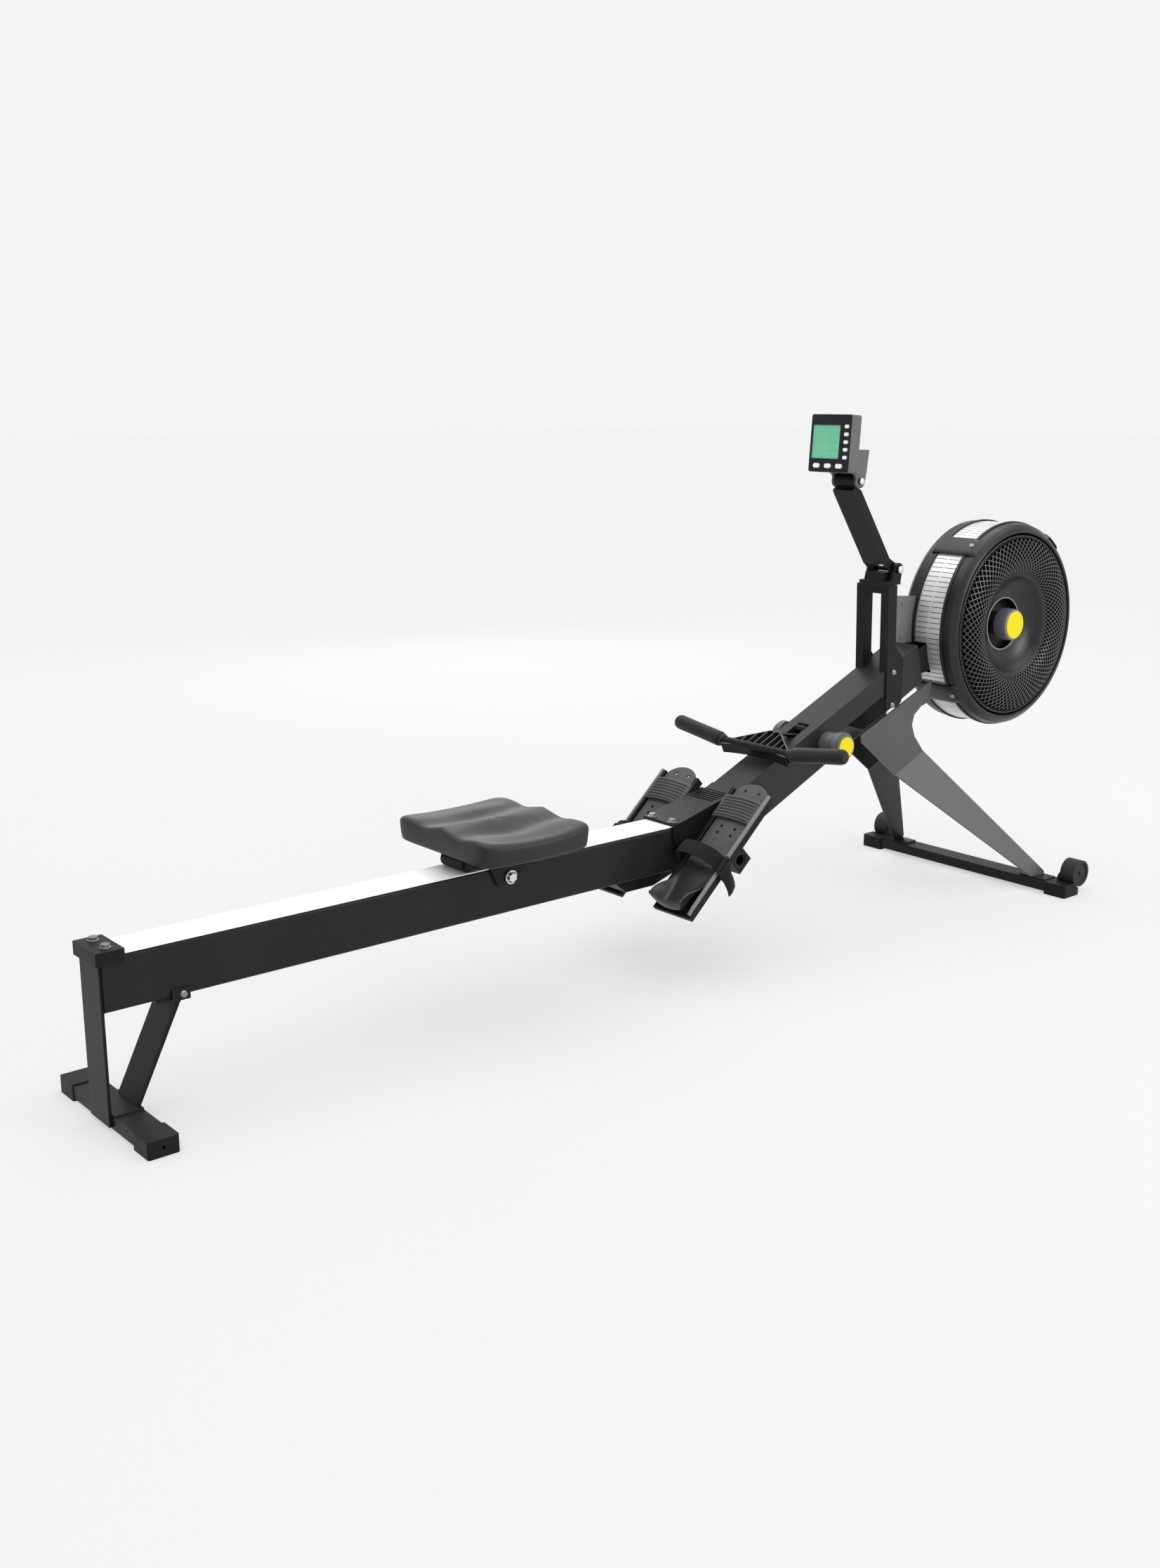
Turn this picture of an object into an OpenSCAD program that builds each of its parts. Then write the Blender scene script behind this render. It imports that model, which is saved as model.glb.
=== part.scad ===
// Air rowing machine. Millimetres. X runs from the rear foot to the flywheel, Y across, Z up.
// Distances along X are measured from the middle of the rear foot, and at_origin() then moves
// the whole machine so that the origin lies under the middle of its outer box.

/* [Rail] */
// Width of the seat rail
rail_w = 75.6; // [70:0.2:78]
// Height of the seat rail's section
rail_h = 91; // [80:1:100]
// Height of the rail's running surface above the floor
rail_top = 284; // [275:1:295]
// X of the joint between the rail and the beam
rail_end = 1258; // [1240:1:1270]

/* [Beam] */
// Slope of the beam
beam_angle = 24; // [22:0.5:26]
// Width of the beam
beam_w = 80; // [78:1:84]
// Depth of the beam, square to its slope
beam_d = 90; // [84:1:96]
// X of the beam's upper end
beam_end = 1868; // [1860:1:1915]

/* [Feet] */
// Length of the rear foot
rear_foot_l = 322; // [280:2:360]
// X of the middle of the front foot
front_foot_x = 2140; // [2120:1:2160]
// Length of the front foot
front_foot_l = 584; // [540:2:620]
// Height of both feet's end caps
foot_h = 29; // [27:1:32]

/* [Flywheel] */
// X of the flywheel's axle
wheel_x = 2150; // [2140:1:2160]
// Height of the flywheel's axle
wheel_z = 593; // [585:1:600]
// Outer radius of the flywheel housing
housing_r = 228; // [222:1:234]
// Number of fan blades
blades = 24; // [12:2:30]

/* [Seat] */
// X of the seat's middle
seat_x = 737; // [720:1:750]
// Length of the seat along the rail
seat_l = 236; // [220:2:250]
// Width of the seat
seat_w = 290; // [270:2:310]
// Height of the seat's top
seat_top = 362; // [355:1:370]

/* [Foot rests] */
// Slope of the foot rests
foot_angle = 42.7; // [40:0.1:45]
// Distance from the middle of the machine to the middle of a foot rest
foot_y = 100; // [98:1:110]
// Width of a foot rest
foot_w = 104; // [98:1:106]

/* [Handle] */
// Radius of the hand grips
grip_r = 15.5; // [14:0.5:17]
// Distance from the middle to the end of a hand grip
grip_end = 232.6; // [220:0.1:250]

/* [Monitor] */
// Width of the monitor
monitor_w = 108; // [100:1:116]
// Height of the monitor
monitor_h = 116; // [110:1:122]

/* [Hidden] */

$fn = 64;
run_gap = 0.05;    // radial clearance of a running fit
body_gap = 0.4;    // clearance between pieces that move past each other

rear_x = -35;      // rear face of the rail's end cap
front_x = wheel_x + housing_r;
mid_x = (rear_x + front_x) / 2;

rail_start = -24;
strip_t = 2;
rail_bottom = rail_top - rail_h;
bar_w = 48;        // width of a foot's bar along X
bar_z = 5;         // height of a foot's bar above the floor
bar_h = 22;
bar_wall = 3;
post_t = 5;
post_w = 68;

// The top line of the beam passes through this point.
beam_x0 = 1290;
beam_z0 = 311.2;
beam_wall = 4;
function beam_top(x) = beam_z0 + (x - beam_x0) * tan(beam_angle);
function beam_s(x) = (x - beam_x0) / cos(beam_angle);
slot_d = 38;       // height of the long side slot
slot_t = -65;      // its middle line below the beam's top

peg_x = 1581;
peg_z = 389;
peg_out = 93;      // how far a peg's end stands from the middle

tower_x = 1757;
tower_depth = 28;
tower_top = 706;
arm_x = 1794;      // lower pivot of the monitor's arm
arm_z = 738;
tilt_x = 1664;     // upper pivot, at the monitor
tilt_z = 927;
arm_angle = atan2(arm_x - tilt_x, tilt_z - arm_z);
arm_len = sqrt(pow(arm_x - tilt_x, 2) + pow(tilt_z - arm_z, 2));
arm_w = 56;

band_y0 = -56;     // near edge of the flywheel housing's air band
band_y1 = 12;      // far edge of the air band
axle_r = 10;
drum_r = 33;       // the drum with its wound strap
plate_l_y = 20;    // inner face of the left wheel bracket
plate_r_y = -20;   // outer face of the right wheel bracket
plate_t = 5;
bracket_x = 1864;  // rear edge of the left bracket, clear of the tower's window

foot_x0 = 1080.6;    // lower end of the foot rests
foot_z0 = 139.7;
tube_u = 170;      // the cross tube's place along and under the foot rests
tube_t = -50;
tube_r = 14;
tube_x = foot_x0 + tube_u * cos(foot_angle) - tube_t * sin(foot_angle);
tube_z = foot_z0 + tube_u * sin(foot_angle) + tube_t * cos(foot_angle);
seat_under = 318;  // underside of the cushion
roller_r = 12.7;
roller_z = rail_top + 13;
roller_dx = 82;    // distance of the rollers from the seat's middle

strap_w = 22;
strap_t = 1.6;
guide_r = 9;
guide_x = 1547;
guide_z = 417;
strap_start = [1486, 417];
strap_turn = [guide_x, guide_z - guide_r - strap_t - 1];

screen_w = 73;
screen_h = 67;
screen_y = 12;
screen_z = 3;
face_lean = 4;     // backward lean of the monitor's face

// ---- helpers ----

// Moves the machine so that the origin is under the middle of its box.
module at_origin() translate([-mid_x, 0, 0]) children();

// Extrudes an outline drawn in X and Z from y0 to y1.
module slab(y0, y1) translate([0, y1, 0]) rotate([90, 0, 0]) linear_extrude(y1 - y0) children();

// A round bar or bore along Y.
module rod_y(x, z, r, y0, y1) translate([x, y1, z]) rotate([90, 0, 0]) cylinder(r = r, h = y1 - y0);

// A block from one corner to the opposite one.
module block(a, b) translate(a) cube(b - a);

// Both sides of the machine.
module both_sides() {
    children();
    mirror([0, 1, 0]) children();
}

// Rectangle with round corners, centred, made of exact arcs.
module round_rect(w, h, r) {
    square([w - 2 * r, h], center = true);
    square([w, h - 2 * r], center = true);
    for (sx = [-1, 1], sy = [-1, 1])
        translate([sx * (w / 2 - r), sy * (h / 2 - r)]) circle(r);
}

// A stadium-shaped outline of length l and height h, centred.
module stadium(l, h) {
    square([l - h, h], center = true);
    for (s = [-1, 1]) translate([s * (l - h) / 2, 0]) circle(h / 2);
}

// A flat bar between two points of an XZ drawing.
module flat_bar(p, q, t) {
    a = atan2(q[1] - p[1], q[0] - p[0]);
    n = [-sin(a) * t, cos(a) * t];
    polygon([p, q, q + n, p + n]);
}

// The beam's frame: X up the slope from the top line's point, Z square to the top.
module on_beam(s = 0, t = 0)
    translate([beam_x0, 0, beam_z0]) rotate([0, -beam_angle, 0]) translate([s, 0, t]) children();

// The foot rests' frame: X up the rest from its heel, Z square to the sole.
module on_foot(u = 0, t = 0)
    translate([foot_x0, 0, foot_z0]) rotate([0, -foot_angle, 0]) translate([u, 0, t]) children();

// The monitor arm's frame: Z along the arm from the lower pivot.
module on_arm() translate([arm_x, 0, arm_z]) rotate([0, -arm_angle, 0]) children();

// The monitor's frame: origin at the middle of its face, X towards its back.
module on_monitor()
    translate([1604, 0, 1004]) rotate([0, face_lean, 0]) children();

// ---- fasteners ----

screw_r = 3;
screw_len = 9;
bolt_r = 4;
bolt_len = 12;

// Dome-headed screw, head up, with its seat at z = 0.
module dome_screw() {
    translate([0, 0, -screw_len]) cylinder(r = screw_r, h = screw_len + 1);
    cylinder(r1 = 6.5, r2 = 4.5, h = 3, $fn = 48);
}

// Hexagon bolt with its washer, head up, with its seat at z = 0.
module hex_bolt() {
    translate([0, 0, -bolt_len]) cylinder(r = bolt_r, h = bolt_len + 1);
    cylinder(r = 9, h = 1.5);
    translate([0, 0, 1.5]) cylinder(r = 7.5, h = 5, $fn = 6);
}

tower_screws = [[1786, 518], [1786, 446]];
brace_screw = [103, 196];
clamp_angles = [52, 128, 218];
rail_bolts = [[-10, 22], [1150, 28]];
leg_bolt_y = 180;

// Places its child at every dome screw, head outwards.
module at_screws() {
    both_sides() for (p = tower_screws)
        translate([p[0], -beam_w / 2 - 4, p[1]]) rotate([90, 0, 0]) children();
    both_sides() translate([brace_screw[0], -rail_w / 2 - 4, brace_screw[1]]) rotate([90, 0, 0]) children();
    for (a = clamp_angles)
        translate([wheel_x, -66, wheel_z]) rotate([0, -a, 0])
            translate([housing_r + 7, 0, 0]) rotate([0, 90, 0]) children();
}

// Places its child at every hexagon bolt, head up.
module at_bolts() {
    for (s = [-1, 1]) {
        translate([rail_bolts[0][0], s * rail_bolts[0][1], rail_top + 8]) children();
        translate([rail_bolts[1][0], s * rail_bolts[1][1], rail_top + 6]) children();
        translate([front_foot_x, s * leg_bolt_y, bar_z + bar_h + 4]) children();
    }
}

module screw_holes() at_screws() translate([0, 0, -screw_len]) cylinder(r = screw_r, h = screw_len + 8);
module bolt_holes() at_bolts() translate([0, 0, -bolt_len]) cylinder(r = bolt_r, h = bolt_len + 12);

module dome_screws() color("gainsboro") at_origin() at_screws() dome_screw();
module hex_bolts() color("gainsboro") at_origin() at_bolts() hex_bolt();

// ---- rear foot and rail ----

module rear_foot_bar() color("#242424") at_origin() difference() {
    union() {
        block([-bar_w / 2, -rear_foot_l / 2 + 6, bar_z], [bar_w / 2, rear_foot_l / 2 - 6, bar_z + bar_h]);
        block([-bar_w / 2, -45, bar_z + bar_h], [bar_w / 2, 45, bar_z + bar_h + 3]);
    }
    block([-bar_w / 2 + bar_wall, -rear_foot_l / 2, bar_z + bar_wall],
          [bar_w / 2 - bar_wall, rear_foot_l / 2, bar_z + bar_h - bar_wall]);
}

module rear_foot_caps() color("#1b1b1b") at_origin() both_sides() difference() {
    translate([0, -rear_foot_l / 2 + 26, 0]) linear_extrude(foot_h) round_rect(52, 52, 4);
    block([-bar_w / 2, -rear_foot_l / 2 + 6, bar_z], [bar_w / 2, 0, bar_z + bar_h]);
    rod_y(0, foot_h / 2, 3, -rear_foot_l / 2 - 1, -rear_foot_l / 2 + 7);
}

module rear_post() color("#202020") at_origin()
    block([rail_start - post_t, -post_w / 2, 8], [rail_start, post_w / 2, rail_top]);

module rear_brace() color("#202020") at_origin() difference() {
    union() {
        slab(-post_w / 2, post_w / 2) {
            polygon([[17, bar_z + bar_h + 3], [24, bar_z + bar_h + 3], [102, 187], [94, 187]]);
            polygon([[60, 187], [114, 187], [114, rail_bottom], [60, rail_bottom]]);
        }
        both_sides() block([84, rail_w / 2, 187], [114, rail_w / 2 + 4, 206]);
        both_sides() block([84, post_w / 2 - 1, 187], [114, rail_w / 2 + 4, rail_bottom]);
    }
    screw_holes();
}

module rail_section(grow) round_rect(rail_w - 2 * grow, rail_h - strip_t - 2 * grow, 6 - grow);

module rail() color("#262626") at_origin() difference() {
    translate([rail_start, 0, rail_bottom + (rail_h - strip_t) / 2]) rotate([90, 0, 90])
        linear_extrude(rail_end - rail_start) difference() {
            rail_section(0);
            rail_section(4);
        }
    rod_y(tube_x, tube_z, tube_r, -rail_w, rail_w);
    bolt_holes();
    screw_holes();
}

module rail_top_strip() color("#c9ccd0") at_origin() difference() {
    block([rail_start, -rail_w / 2, rail_top - strip_t], [rail_end - 30, rail_w / 2, rail_top]);
    bolt_holes();
}

module rail_end_cap() color("#1d1d1d") at_origin() difference() {
    union() {
        block([rear_x, -41, rail_top], [12, 41, rail_top + 8]);
        block([rear_x, -41, rail_top - 14], [rail_start - post_t, 41, rail_top]);
        both_sides() block([rail_start - post_t, rail_w / 2, rail_top - 14], [12, 41, rail_top]);
    }
    bolt_holes();
}

// ---- junction of the rail and the beam ----

bracket_y = beam_w / 2;
module front_bracket() color("#1c1c1c") at_origin() difference() {
    union() {
        slab(-bracket_y - 4, bracket_y + 4)
            polygon([[1141, rail_top], [1141, rail_top + 6], [1158, rail_top + 6], [1246, 313],
                     [1300, beam_top(1300) + 8], [1300, beam_top(1300)],
                     [beam_x0 - 32, beam_top(beam_x0 - 32)], [1200, rail_top]]);
        both_sides() slab(bracket_y, bracket_y + 4)
            polygon([[1141, 262], [1141, rail_top + 1], [1258, rail_top + 20], [1300, beam_top(1300)],
                     [1330, beam_top(1330)], [1330, beam_top(1330) - 70], [rail_end, rail_bottom - 4],
                     [1180, rail_bottom - 4]]);
        block([1150, -bracket_y - 4, rail_bottom - 4], [rail_end, bracket_y + 4, rail_bottom]);
        slab(-30, 30)
            polygon([[1003, rail_bottom], [1030, rail_bottom - 22], [1100, rail_bottom - 22],
                     [1160, rail_bottom - 4], [1160, rail_bottom]]);
    }
    rod_y(tube_x, tube_z, tube_r, -rail_w, rail_w);
    on_beam(beam_s(1262), 0) for (i = [0 : 5])
        block([i * 8, -bracket_y + 6, 2], [i * 8 + 4, bracket_y - 6, 30]);
    bolt_holes();
}

// ---- beam ----

module beam_outline() polygon([
    [rail_end, beam_top(rail_end)], [beam_end, beam_top(beam_end)],
    [beam_end + beam_d * sin(beam_angle) * 0.6, beam_top(beam_end) - beam_d * cos(beam_angle)],
    [1330, beam_top(1330) - beam_d / cos(beam_angle)], [rail_end, rail_bottom + 2]]);

module beam() color("#2b2b2b") at_origin() {
    beam_tube();
    rod_y(guide_x, guide_z, 3, -beam_w / 2 + beam_wall, beam_w / 2 - beam_wall);
}

module beam_tube() difference() {
    slab(-beam_w / 2, beam_w / 2) beam_outline();
    on_beam() block([-40, -beam_w / 2 + beam_wall, -beam_d + beam_wall],
                    [800, beam_w / 2 - beam_wall, -beam_wall]);
    on_beam(beam_s(1633), slot_t) slab(-beam_w, beam_w) stadium(246, slot_d);
    on_beam(beam_s(guide_x) - 22, -beam_wall - 1) block([-24, -16, 0], [30, 16, beam_wall + 2]);
    rod_y(peg_x, peg_z, 12, -beam_w, beam_w);
    screw_holes();
}

module peg_bar() color("#3a3a3c") at_origin() {
    rod_y(peg_x, peg_z, 12, -peg_out + 10, peg_out - 10);
    both_sides() {
        rod_y(peg_x, peg_z, 26, -68, -beam_w / 2);
        rod_y(peg_x, peg_z, 20, -73, -68);
        rod_y(peg_x, peg_z, 30, -peg_out + 6, -73);
        rod_y(peg_x, peg_z, 26, -peg_out, -peg_out + 6);
    }
}

module peg_caps() color("#f4e51c") at_origin() both_sides()
    rod_y(peg_x, peg_z, 22, -peg_out - 2, -peg_out);

// Elastic cord that winds the strap back, held by a tab on the beam's floor.
cord_t = -72;
module return_cord() color("#303030") at_origin() {
    on_beam(60, cord_t) rotate([0, 90, 0]) cylinder(r = 4, h = 560);
    on_beam(60, cord_t) block([-6, -12, -beam_d + beam_wall - cord_t], [0, 12, 10]);
}

// ---- front legs and foot ----

leg_t = 4;
leg_bend_x = 1812;      // lower corner of the line where a leg plate turns outwards
leg_bend_z = 286;
leg_splay = 24.2;
leg_bend_l = 102;
pad_top = bar_z + bar_h + 4;
leg_top_y = beam_w / 2 - leg_t;

// Frame of the splayed plate: X along the bend, Z up the plate, for the right-hand side.
module on_splay() translate([leg_bend_x, -beam_w / 2, leg_bend_z]) rotate([0, -beam_angle, 0])
    rotate([-leg_splay, 0, 0]) children();

module leg_plate() difference() {
    union() {
        difference() {
            slab(-beam_w / 2, -leg_top_y) polygon([
                [1692, beam_top(1692) - beam_d / cos(beam_angle)], [1696, 375], [1746, 336],
                [leg_bend_x, leg_bend_z],
                [leg_bend_x + leg_bend_l * cos(beam_angle), leg_bend_z + leg_bend_l * sin(beam_angle)],
                [1872, 366], [1862, 392], [1868, 414], [1890, 430], [1915, 437], [1925, 485]]);
            slab(-beam_w, beam_w) beam_outline();
        }
        on_splay() slab(0, leg_t) polygon([[0, 1.6], [leg_bend_l, 1.6], [215, -402],
                                           [206, -414], [178, -400], [172, -386]]);
    }
    block([2000, -front_foot_l / 2, 0], [2300, 0, pad_top]);
}

module leg_right() color("#353535") at_origin() leg_plate();
module leg_left() color("#353535") at_origin() mirror([0, 1, 0]) leg_plate();

module front_foot_bar() color("#242424") at_origin() difference() {
    union() {
        translate([front_foot_x, 0, 0])
            block([-bar_w / 2, -bar_end, bar_z], [bar_w / 2, bar_end, bar_z + bar_h]);
        both_sides() translate([front_foot_x, 0, bar_z + bar_h])
            block([-20, -235, 0], [20, -165, pad_top - bar_z - bar_h]);
    }
    translate([front_foot_x, 0, 0])
        block([-bar_w / 2 + bar_wall, -front_foot_l / 2, bar_z + bar_wall],
              [bar_w / 2 - bar_wall, front_foot_l / 2, bar_z + bar_h - bar_wall]);
    bolt_holes();
}

tw_x = 2178;
tw_z = 46;
tw_r = 30;
ear_y = -253;      // outer face of the ear that holds the wheel
bar_end = 246;     // the front bar's half length inside its caps

// End cap with an ear and a pin for the transport wheel.
module front_foot_caps() color("#1b1b1b") at_origin() both_sides() {
    difference() {
        union() {
            translate([front_foot_x, -front_foot_l / 2 + 28, 0])
                linear_extrude(foot_h) round_rect(56, 56, 4);
            slab(ear_y, ear_y + 6) {
                polygon([[2140, 5], [2168, 5], [tw_x + 12, tw_z - 8], [tw_x, tw_z + 12], [2150, 40]]);
                translate([tw_x, tw_z]) circle(14);
            }
        }
        translate([front_foot_x, 0, 0])
            block([-bar_w / 2, -bar_end, bar_z], [bar_w / 2, 0, bar_z + bar_h]);
        rod_y(tw_x, tw_z, tw_r + 2, -front_foot_l / 2 - 1, ear_y);
    }
    rod_y(tw_x, tw_z, 4, ear_y - 34, ear_y + 1);
}

module transport_wheel() difference() {
    rod_y(tw_x, tw_z, tw_r, ear_y - 35, ear_y - body_gap);
    rod_y(tw_x, tw_z, tw_r - 6, ear_y - 36, ear_y - 32);
    rod_y(tw_x, tw_z, 4 + run_gap, ear_y - 36, ear_y + 1);
}
module transport_wheel_right() color("#1e1e1e") at_origin() transport_wheel();
module transport_wheel_left() color("#1e1e1e") at_origin() mirror([0, 1, 0]) transport_wheel();

// ---- tower and monitor arm ----

module tower() color("#272727") at_origin() difference() {
    union() {
        both_sides() slab(beam_w / 2, beam_w / 2 + 4) polygon([
            [tower_x + 7, 440], [tower_x + 6, 520], [tower_x, tower_top - 8],
            [tower_x + tower_depth, tower_top - 8], [tower_x + tower_depth + 3, 575], [1816, 545],
            [1816, 452], [1804, 440]]);
        both_sides() slab(23, beam_w / 2) polygon([
            [tower_x + 5, beam_top(tower_x + 5)], [tower_x, tower_top - 8],
            [tower_x + tower_depth, tower_top - 8],
            [tower_x + tower_depth + 4, beam_top(tower_x + tower_depth + 4)]]);
        block([tower_x, -beam_w / 2 - 4, tower_top - 18],
              [tower_x + tower_depth, beam_w / 2 + 4, tower_top]);
    }
    screw_holes();
}

module tower_head() color("#202020") at_origin() {
    block([tower_x, -beam_w / 2 + 2, tower_top], [arm_x + 8, beam_w / 2 - 2, tower_top + 8]);
    block([tower_x + 2, -24, tower_top + 8], [arm_x + 4, 24, arm_z - 6]);
    both_sides() slab(arm_w / 2 + 2.4, 38) {
        polygon([[arm_x - 22, tower_top + 8], [arm_x + 8, tower_top + 8], [arm_x + 12, arm_z],
                 [arm_x - 14, arm_z]]);
        translate([arm_x, arm_z]) circle(14);
    }
    rod_y(arm_x, arm_z, 5, -40, 40);
    both_sides() rod_y(arm_x, arm_z, 8, -43, -38);
}

module monitor_arm() color("#222222") at_origin() {
    difference() {
        on_arm() {
            translate([-24.5, -arm_w / 2, 31]) cube([3, arm_w, arm_len - 31 - 14]);
            both_sides() translate([-24.5, arm_w / 2 - 3, 31]) cube([22, 3, arm_len - 31 - 20]);
            both_sides() slab(arm_w / 2 - 3, arm_w / 2) {
                polygon([[-24.5, 31], [-2.5, 31], [12, 2], [-12, -6], [-16, 4]]);
                circle(12);
            }
            translate([0, 0, arm_len]) rotate([90, 0, 0]) cylinder(r = 15, h = 54, center = true);
            translate([-24.5, -27, arm_len - 30]) cube([20, 54, 24]);
        }
        rod_y(arm_x, arm_z, 5 + run_gap, -40, 40);
    }
    rod_y(tilt_x, tilt_z, 4, -33.8, 33.8);
    both_sides() rod_y(tilt_x, tilt_z, 7, -37, -33.6);
}

// ---- monitor ----

case_d = 28;
side_button_z = [34, 18.5, 3, -12, -27.5];
side_button_y = -42;
front_button_y = [32, 2, -28];
front_button_z = -45;

module side_button_shape(grow) stadium(11 + 2 * grow, 7 + 2 * grow);
module front_button_shape(grow) stadium(17 + 2 * grow, 9 + 2 * grow);

// Extrudes an outline drawn in the face's Y and Z, from depth x0 to x1 behind the face.
module behind_face(x0, x1) translate([x0, 0, 0]) rotate([90, 0, 90]) linear_extrude(x1 - x0) children();

module at_side_button(i) translate([0, side_button_y, side_button_z[i]]) children();
module at_front_button(i) translate([0, front_button_y[i], front_button_z]) children();

module monitor_case() color("#2c2d33") at_origin() difference() {
    union() {
        on_monitor() difference() {
            behind_face(0, case_d) round_rect(monitor_w, monitor_h, 5);
            behind_face(3, case_d - 3) round_rect(monitor_w - 6, monitor_h - 6, 3);
            translate([0, screen_y, screen_z])
                behind_face(-1, 4) square([screen_w, screen_h], center = true);
            for (i = [0 : 4]) at_side_button(i) behind_face(-1, 4) side_button_shape(body_gap);
            for (i = [0 : 2]) at_front_button(i) behind_face(-1, 4) front_button_shape(body_gap);
        }
        slab(-27, 27) polygon([[1626, 945], [1682, 945], [1688, 990], [1629.5, 990]]);
        both_sides() slab(27.4, 33) {
            polygon([[1630, 950], [1648, 940], [tilt_x - 12, tilt_z + 6], [tilt_x + 14, tilt_z],
                     [1682, 945], [1688, 990], [1631, 990]]);
            translate([tilt_x, tilt_z]) circle(14);
        }
        both_sides() slab(26.9, 27.5) polygon([[1634, 950], [1680, 950], [1686, 988], [1636, 988]]);
    }
    rod_y(tilt_x, tilt_z, 4 + run_gap, -40, 40);
}

module monitor_screen() color("#5cc28d") at_origin() on_monitor()
    translate([0, screen_y, screen_z]) behind_face(1, 3) square([screen_w, screen_h], center = true);

module side_button(i) color("#f0f0f0") at_origin() on_monitor() at_side_button(i) {
    behind_face(-2, 3.4) side_button_shape(0);
    behind_face(3.4, 5) side_button_shape(1.2);
}

module front_button(i) color("#f0f0f0") at_origin() on_monitor() at_front_button(i) {
    behind_face(-2, 3.4) front_button_shape(0);
    behind_face(3.4, 5) front_button_shape(1.2);
}

// ---- flywheel ----

// A ring about the flywheel's axle, from an outline of radius and Y.
module wheel_turned() translate([wheel_x, 0, wheel_z]) rotate([-90, 0, 0])
    rotate_extrude($fn = 120) children();

module bracket_outline_left() {
    polygon([[bracket_x, beam_top(bracket_x) - 40], [bracket_x, 671.5], [1946, 664],
             [wheel_x, wheel_z + 44], [wheel_x + 20, wheel_z], [wheel_x, wheel_z - 44],
             [1940, 505], [1890, 492]]);
    translate([wheel_x, wheel_z]) circle(45);
}
module bracket_outline_right() {
    polygon([[1826, 492], [1890, 548], [1946, 572], [wheel_x, wheel_z + 44], [wheel_x + 20, wheel_z],
             [wheel_x, wheel_z - 44], [1940, 505], [1880, 492]]);
    translate([wheel_x, wheel_z]) circle(45);
}

module wheel_brackets() color("#7a7a7c") at_origin() difference() {
    union() {
        difference() {
            slab(plate_l_y, plate_l_y + plate_t) bracket_outline_left();
            slab(-beam_w, beam_w) beam_outline();
            for (z = [575, 650]) rod_y(1880, z, 3.5, 0, 60);
        }
        difference() {
            slab(plate_r_y, plate_r_y + plate_t) bracket_outline_right();
            slab(-beam_w, beam_w) beam_outline();
        }
    }
    rod_y(wheel_x, wheel_z, 20, -60, 60);
}

module axle_bearings() color("silver") at_origin() for (y = [plate_l_y - 1, plate_r_y - 1]) difference() {
    rod_y(wheel_x, wheel_z, 20, y, y + 7);
    rod_y(wheel_x, wheel_z, axle_r + run_gap, y - 1, y + 8);
}

shell_t = 3;
far_y = 60;
module housing_left() color("#232323") at_origin() difference() {
    wheel_turned() polygon([
        [housing_r, band_y1], [housing_r, 42], [housing_r - 10, 54], [housing_r - 26, far_y],
        [24, far_y], [24, far_y - shell_t], [housing_r - 28, far_y - shell_t], [housing_r - 13, 51],
        [housing_r - shell_t, 41], [housing_r - shell_t, band_y1]]);
    block([1900, plate_l_y - 1, 440], [1980, plate_l_y + plate_t + 1, 700]);
}

module housing_band() color("#b9bbbd") at_origin() difference() {
    wheel_turned() polygon([
        [housing_r - 1, band_y0], [housing_r - 1, band_y1], [housing_r - 3, band_y1],
        [housing_r - 3, band_y0]]);
    block([1890, plate_r_y - 1, 494], [1990, band_y1 + 1, 578]);
}

module housing_right() color("#262626") at_origin() difference() {
    wheel_turned() polygon([
        [housing_r, band_y0], [housing_r - shell_t, band_y0], [housing_r - shell_t, -62],
        [218, -76], [206, -80], [202, -86], [202, -90], [208, -92], [214, -88], [224, -82],
        [housing_r, -68]]);
    screw_holes();
}

// Rounded crown round the intake, sinking into a shallow funnel round the hub.
module intake_grille() color("#1f1f1f") at_origin() wheel_turned() polygon([
    [198, -84], [201, -88], [190, -94.5], [176, -100.5], [160, -104.5], [148, -105],
    [136, -103.5], [124, -98.5], [114, -90.5], [104, -80], [97, -73.5], [89, -68], [80, -63.5],
    [70, -60], [60, -58], [60, -55], [71, -57], [81.2, -60.6], [90.6, -65.4], [99, -71.2],
    [106.2, -77.9], [116, -88.2], [125.4, -95.8], [136.8, -100.6], [148, -102], [159.6, -101.5],
    [175, -97.6], [188.6, -91.8]]);

// Strap-like clamps that bridge the air band.
module housing_clamps() color("#303030") at_origin() difference() {
    for (a = clamp_angles) translate([wheel_x, 0, wheel_z]) rotate([0, -a, 0]) {
        difference() {
            block([housing_r - 6, -74, -24], [housing_r + 7, 30, 24]);
            wheel_core();
        }
    }
    screw_holes();
}
module wheel_core() translate([0, 50, 0]) rotate([90, 0, 0]) cylinder(r = housing_r, h = 140, $fn = 360);

blade_r0 = 106;     // inner and outer ends of a fan blade
blade_r1 = 188;
module fan() color("#3c3f42") at_origin() translate([wheel_x, 0, wheel_z]) difference() {
    union() {
        rod_y(0, 0, blade_r1 + 2, -28, -25);
        rod_y(0, 0, 26, -56, -22);
        for (i = [0 : blades - 1]) rotate([0, i * 360 / blades, 0])
            block([blade_r0, -70, -1], [blade_r1, -26, 1]);
    }
    rotate([90, 0, 0]) cylinder(r = axle_r, h = 200, center = true);
}

module wheel_axle() color("silver") at_origin() rod_y(wheel_x, wheel_z, axle_r, -56, 44);

module hub_cover() color("#8b8796") at_origin() {
    rod_y(wheel_x, wheel_z, 36, -84, -56);
    rod_y(wheel_x, wheel_z, 34.5, -88, -84);
}
module hub_disc() color("#f4e51c") at_origin() rod_y(wheel_x, wheel_z, 32, -91, -88);

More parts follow.
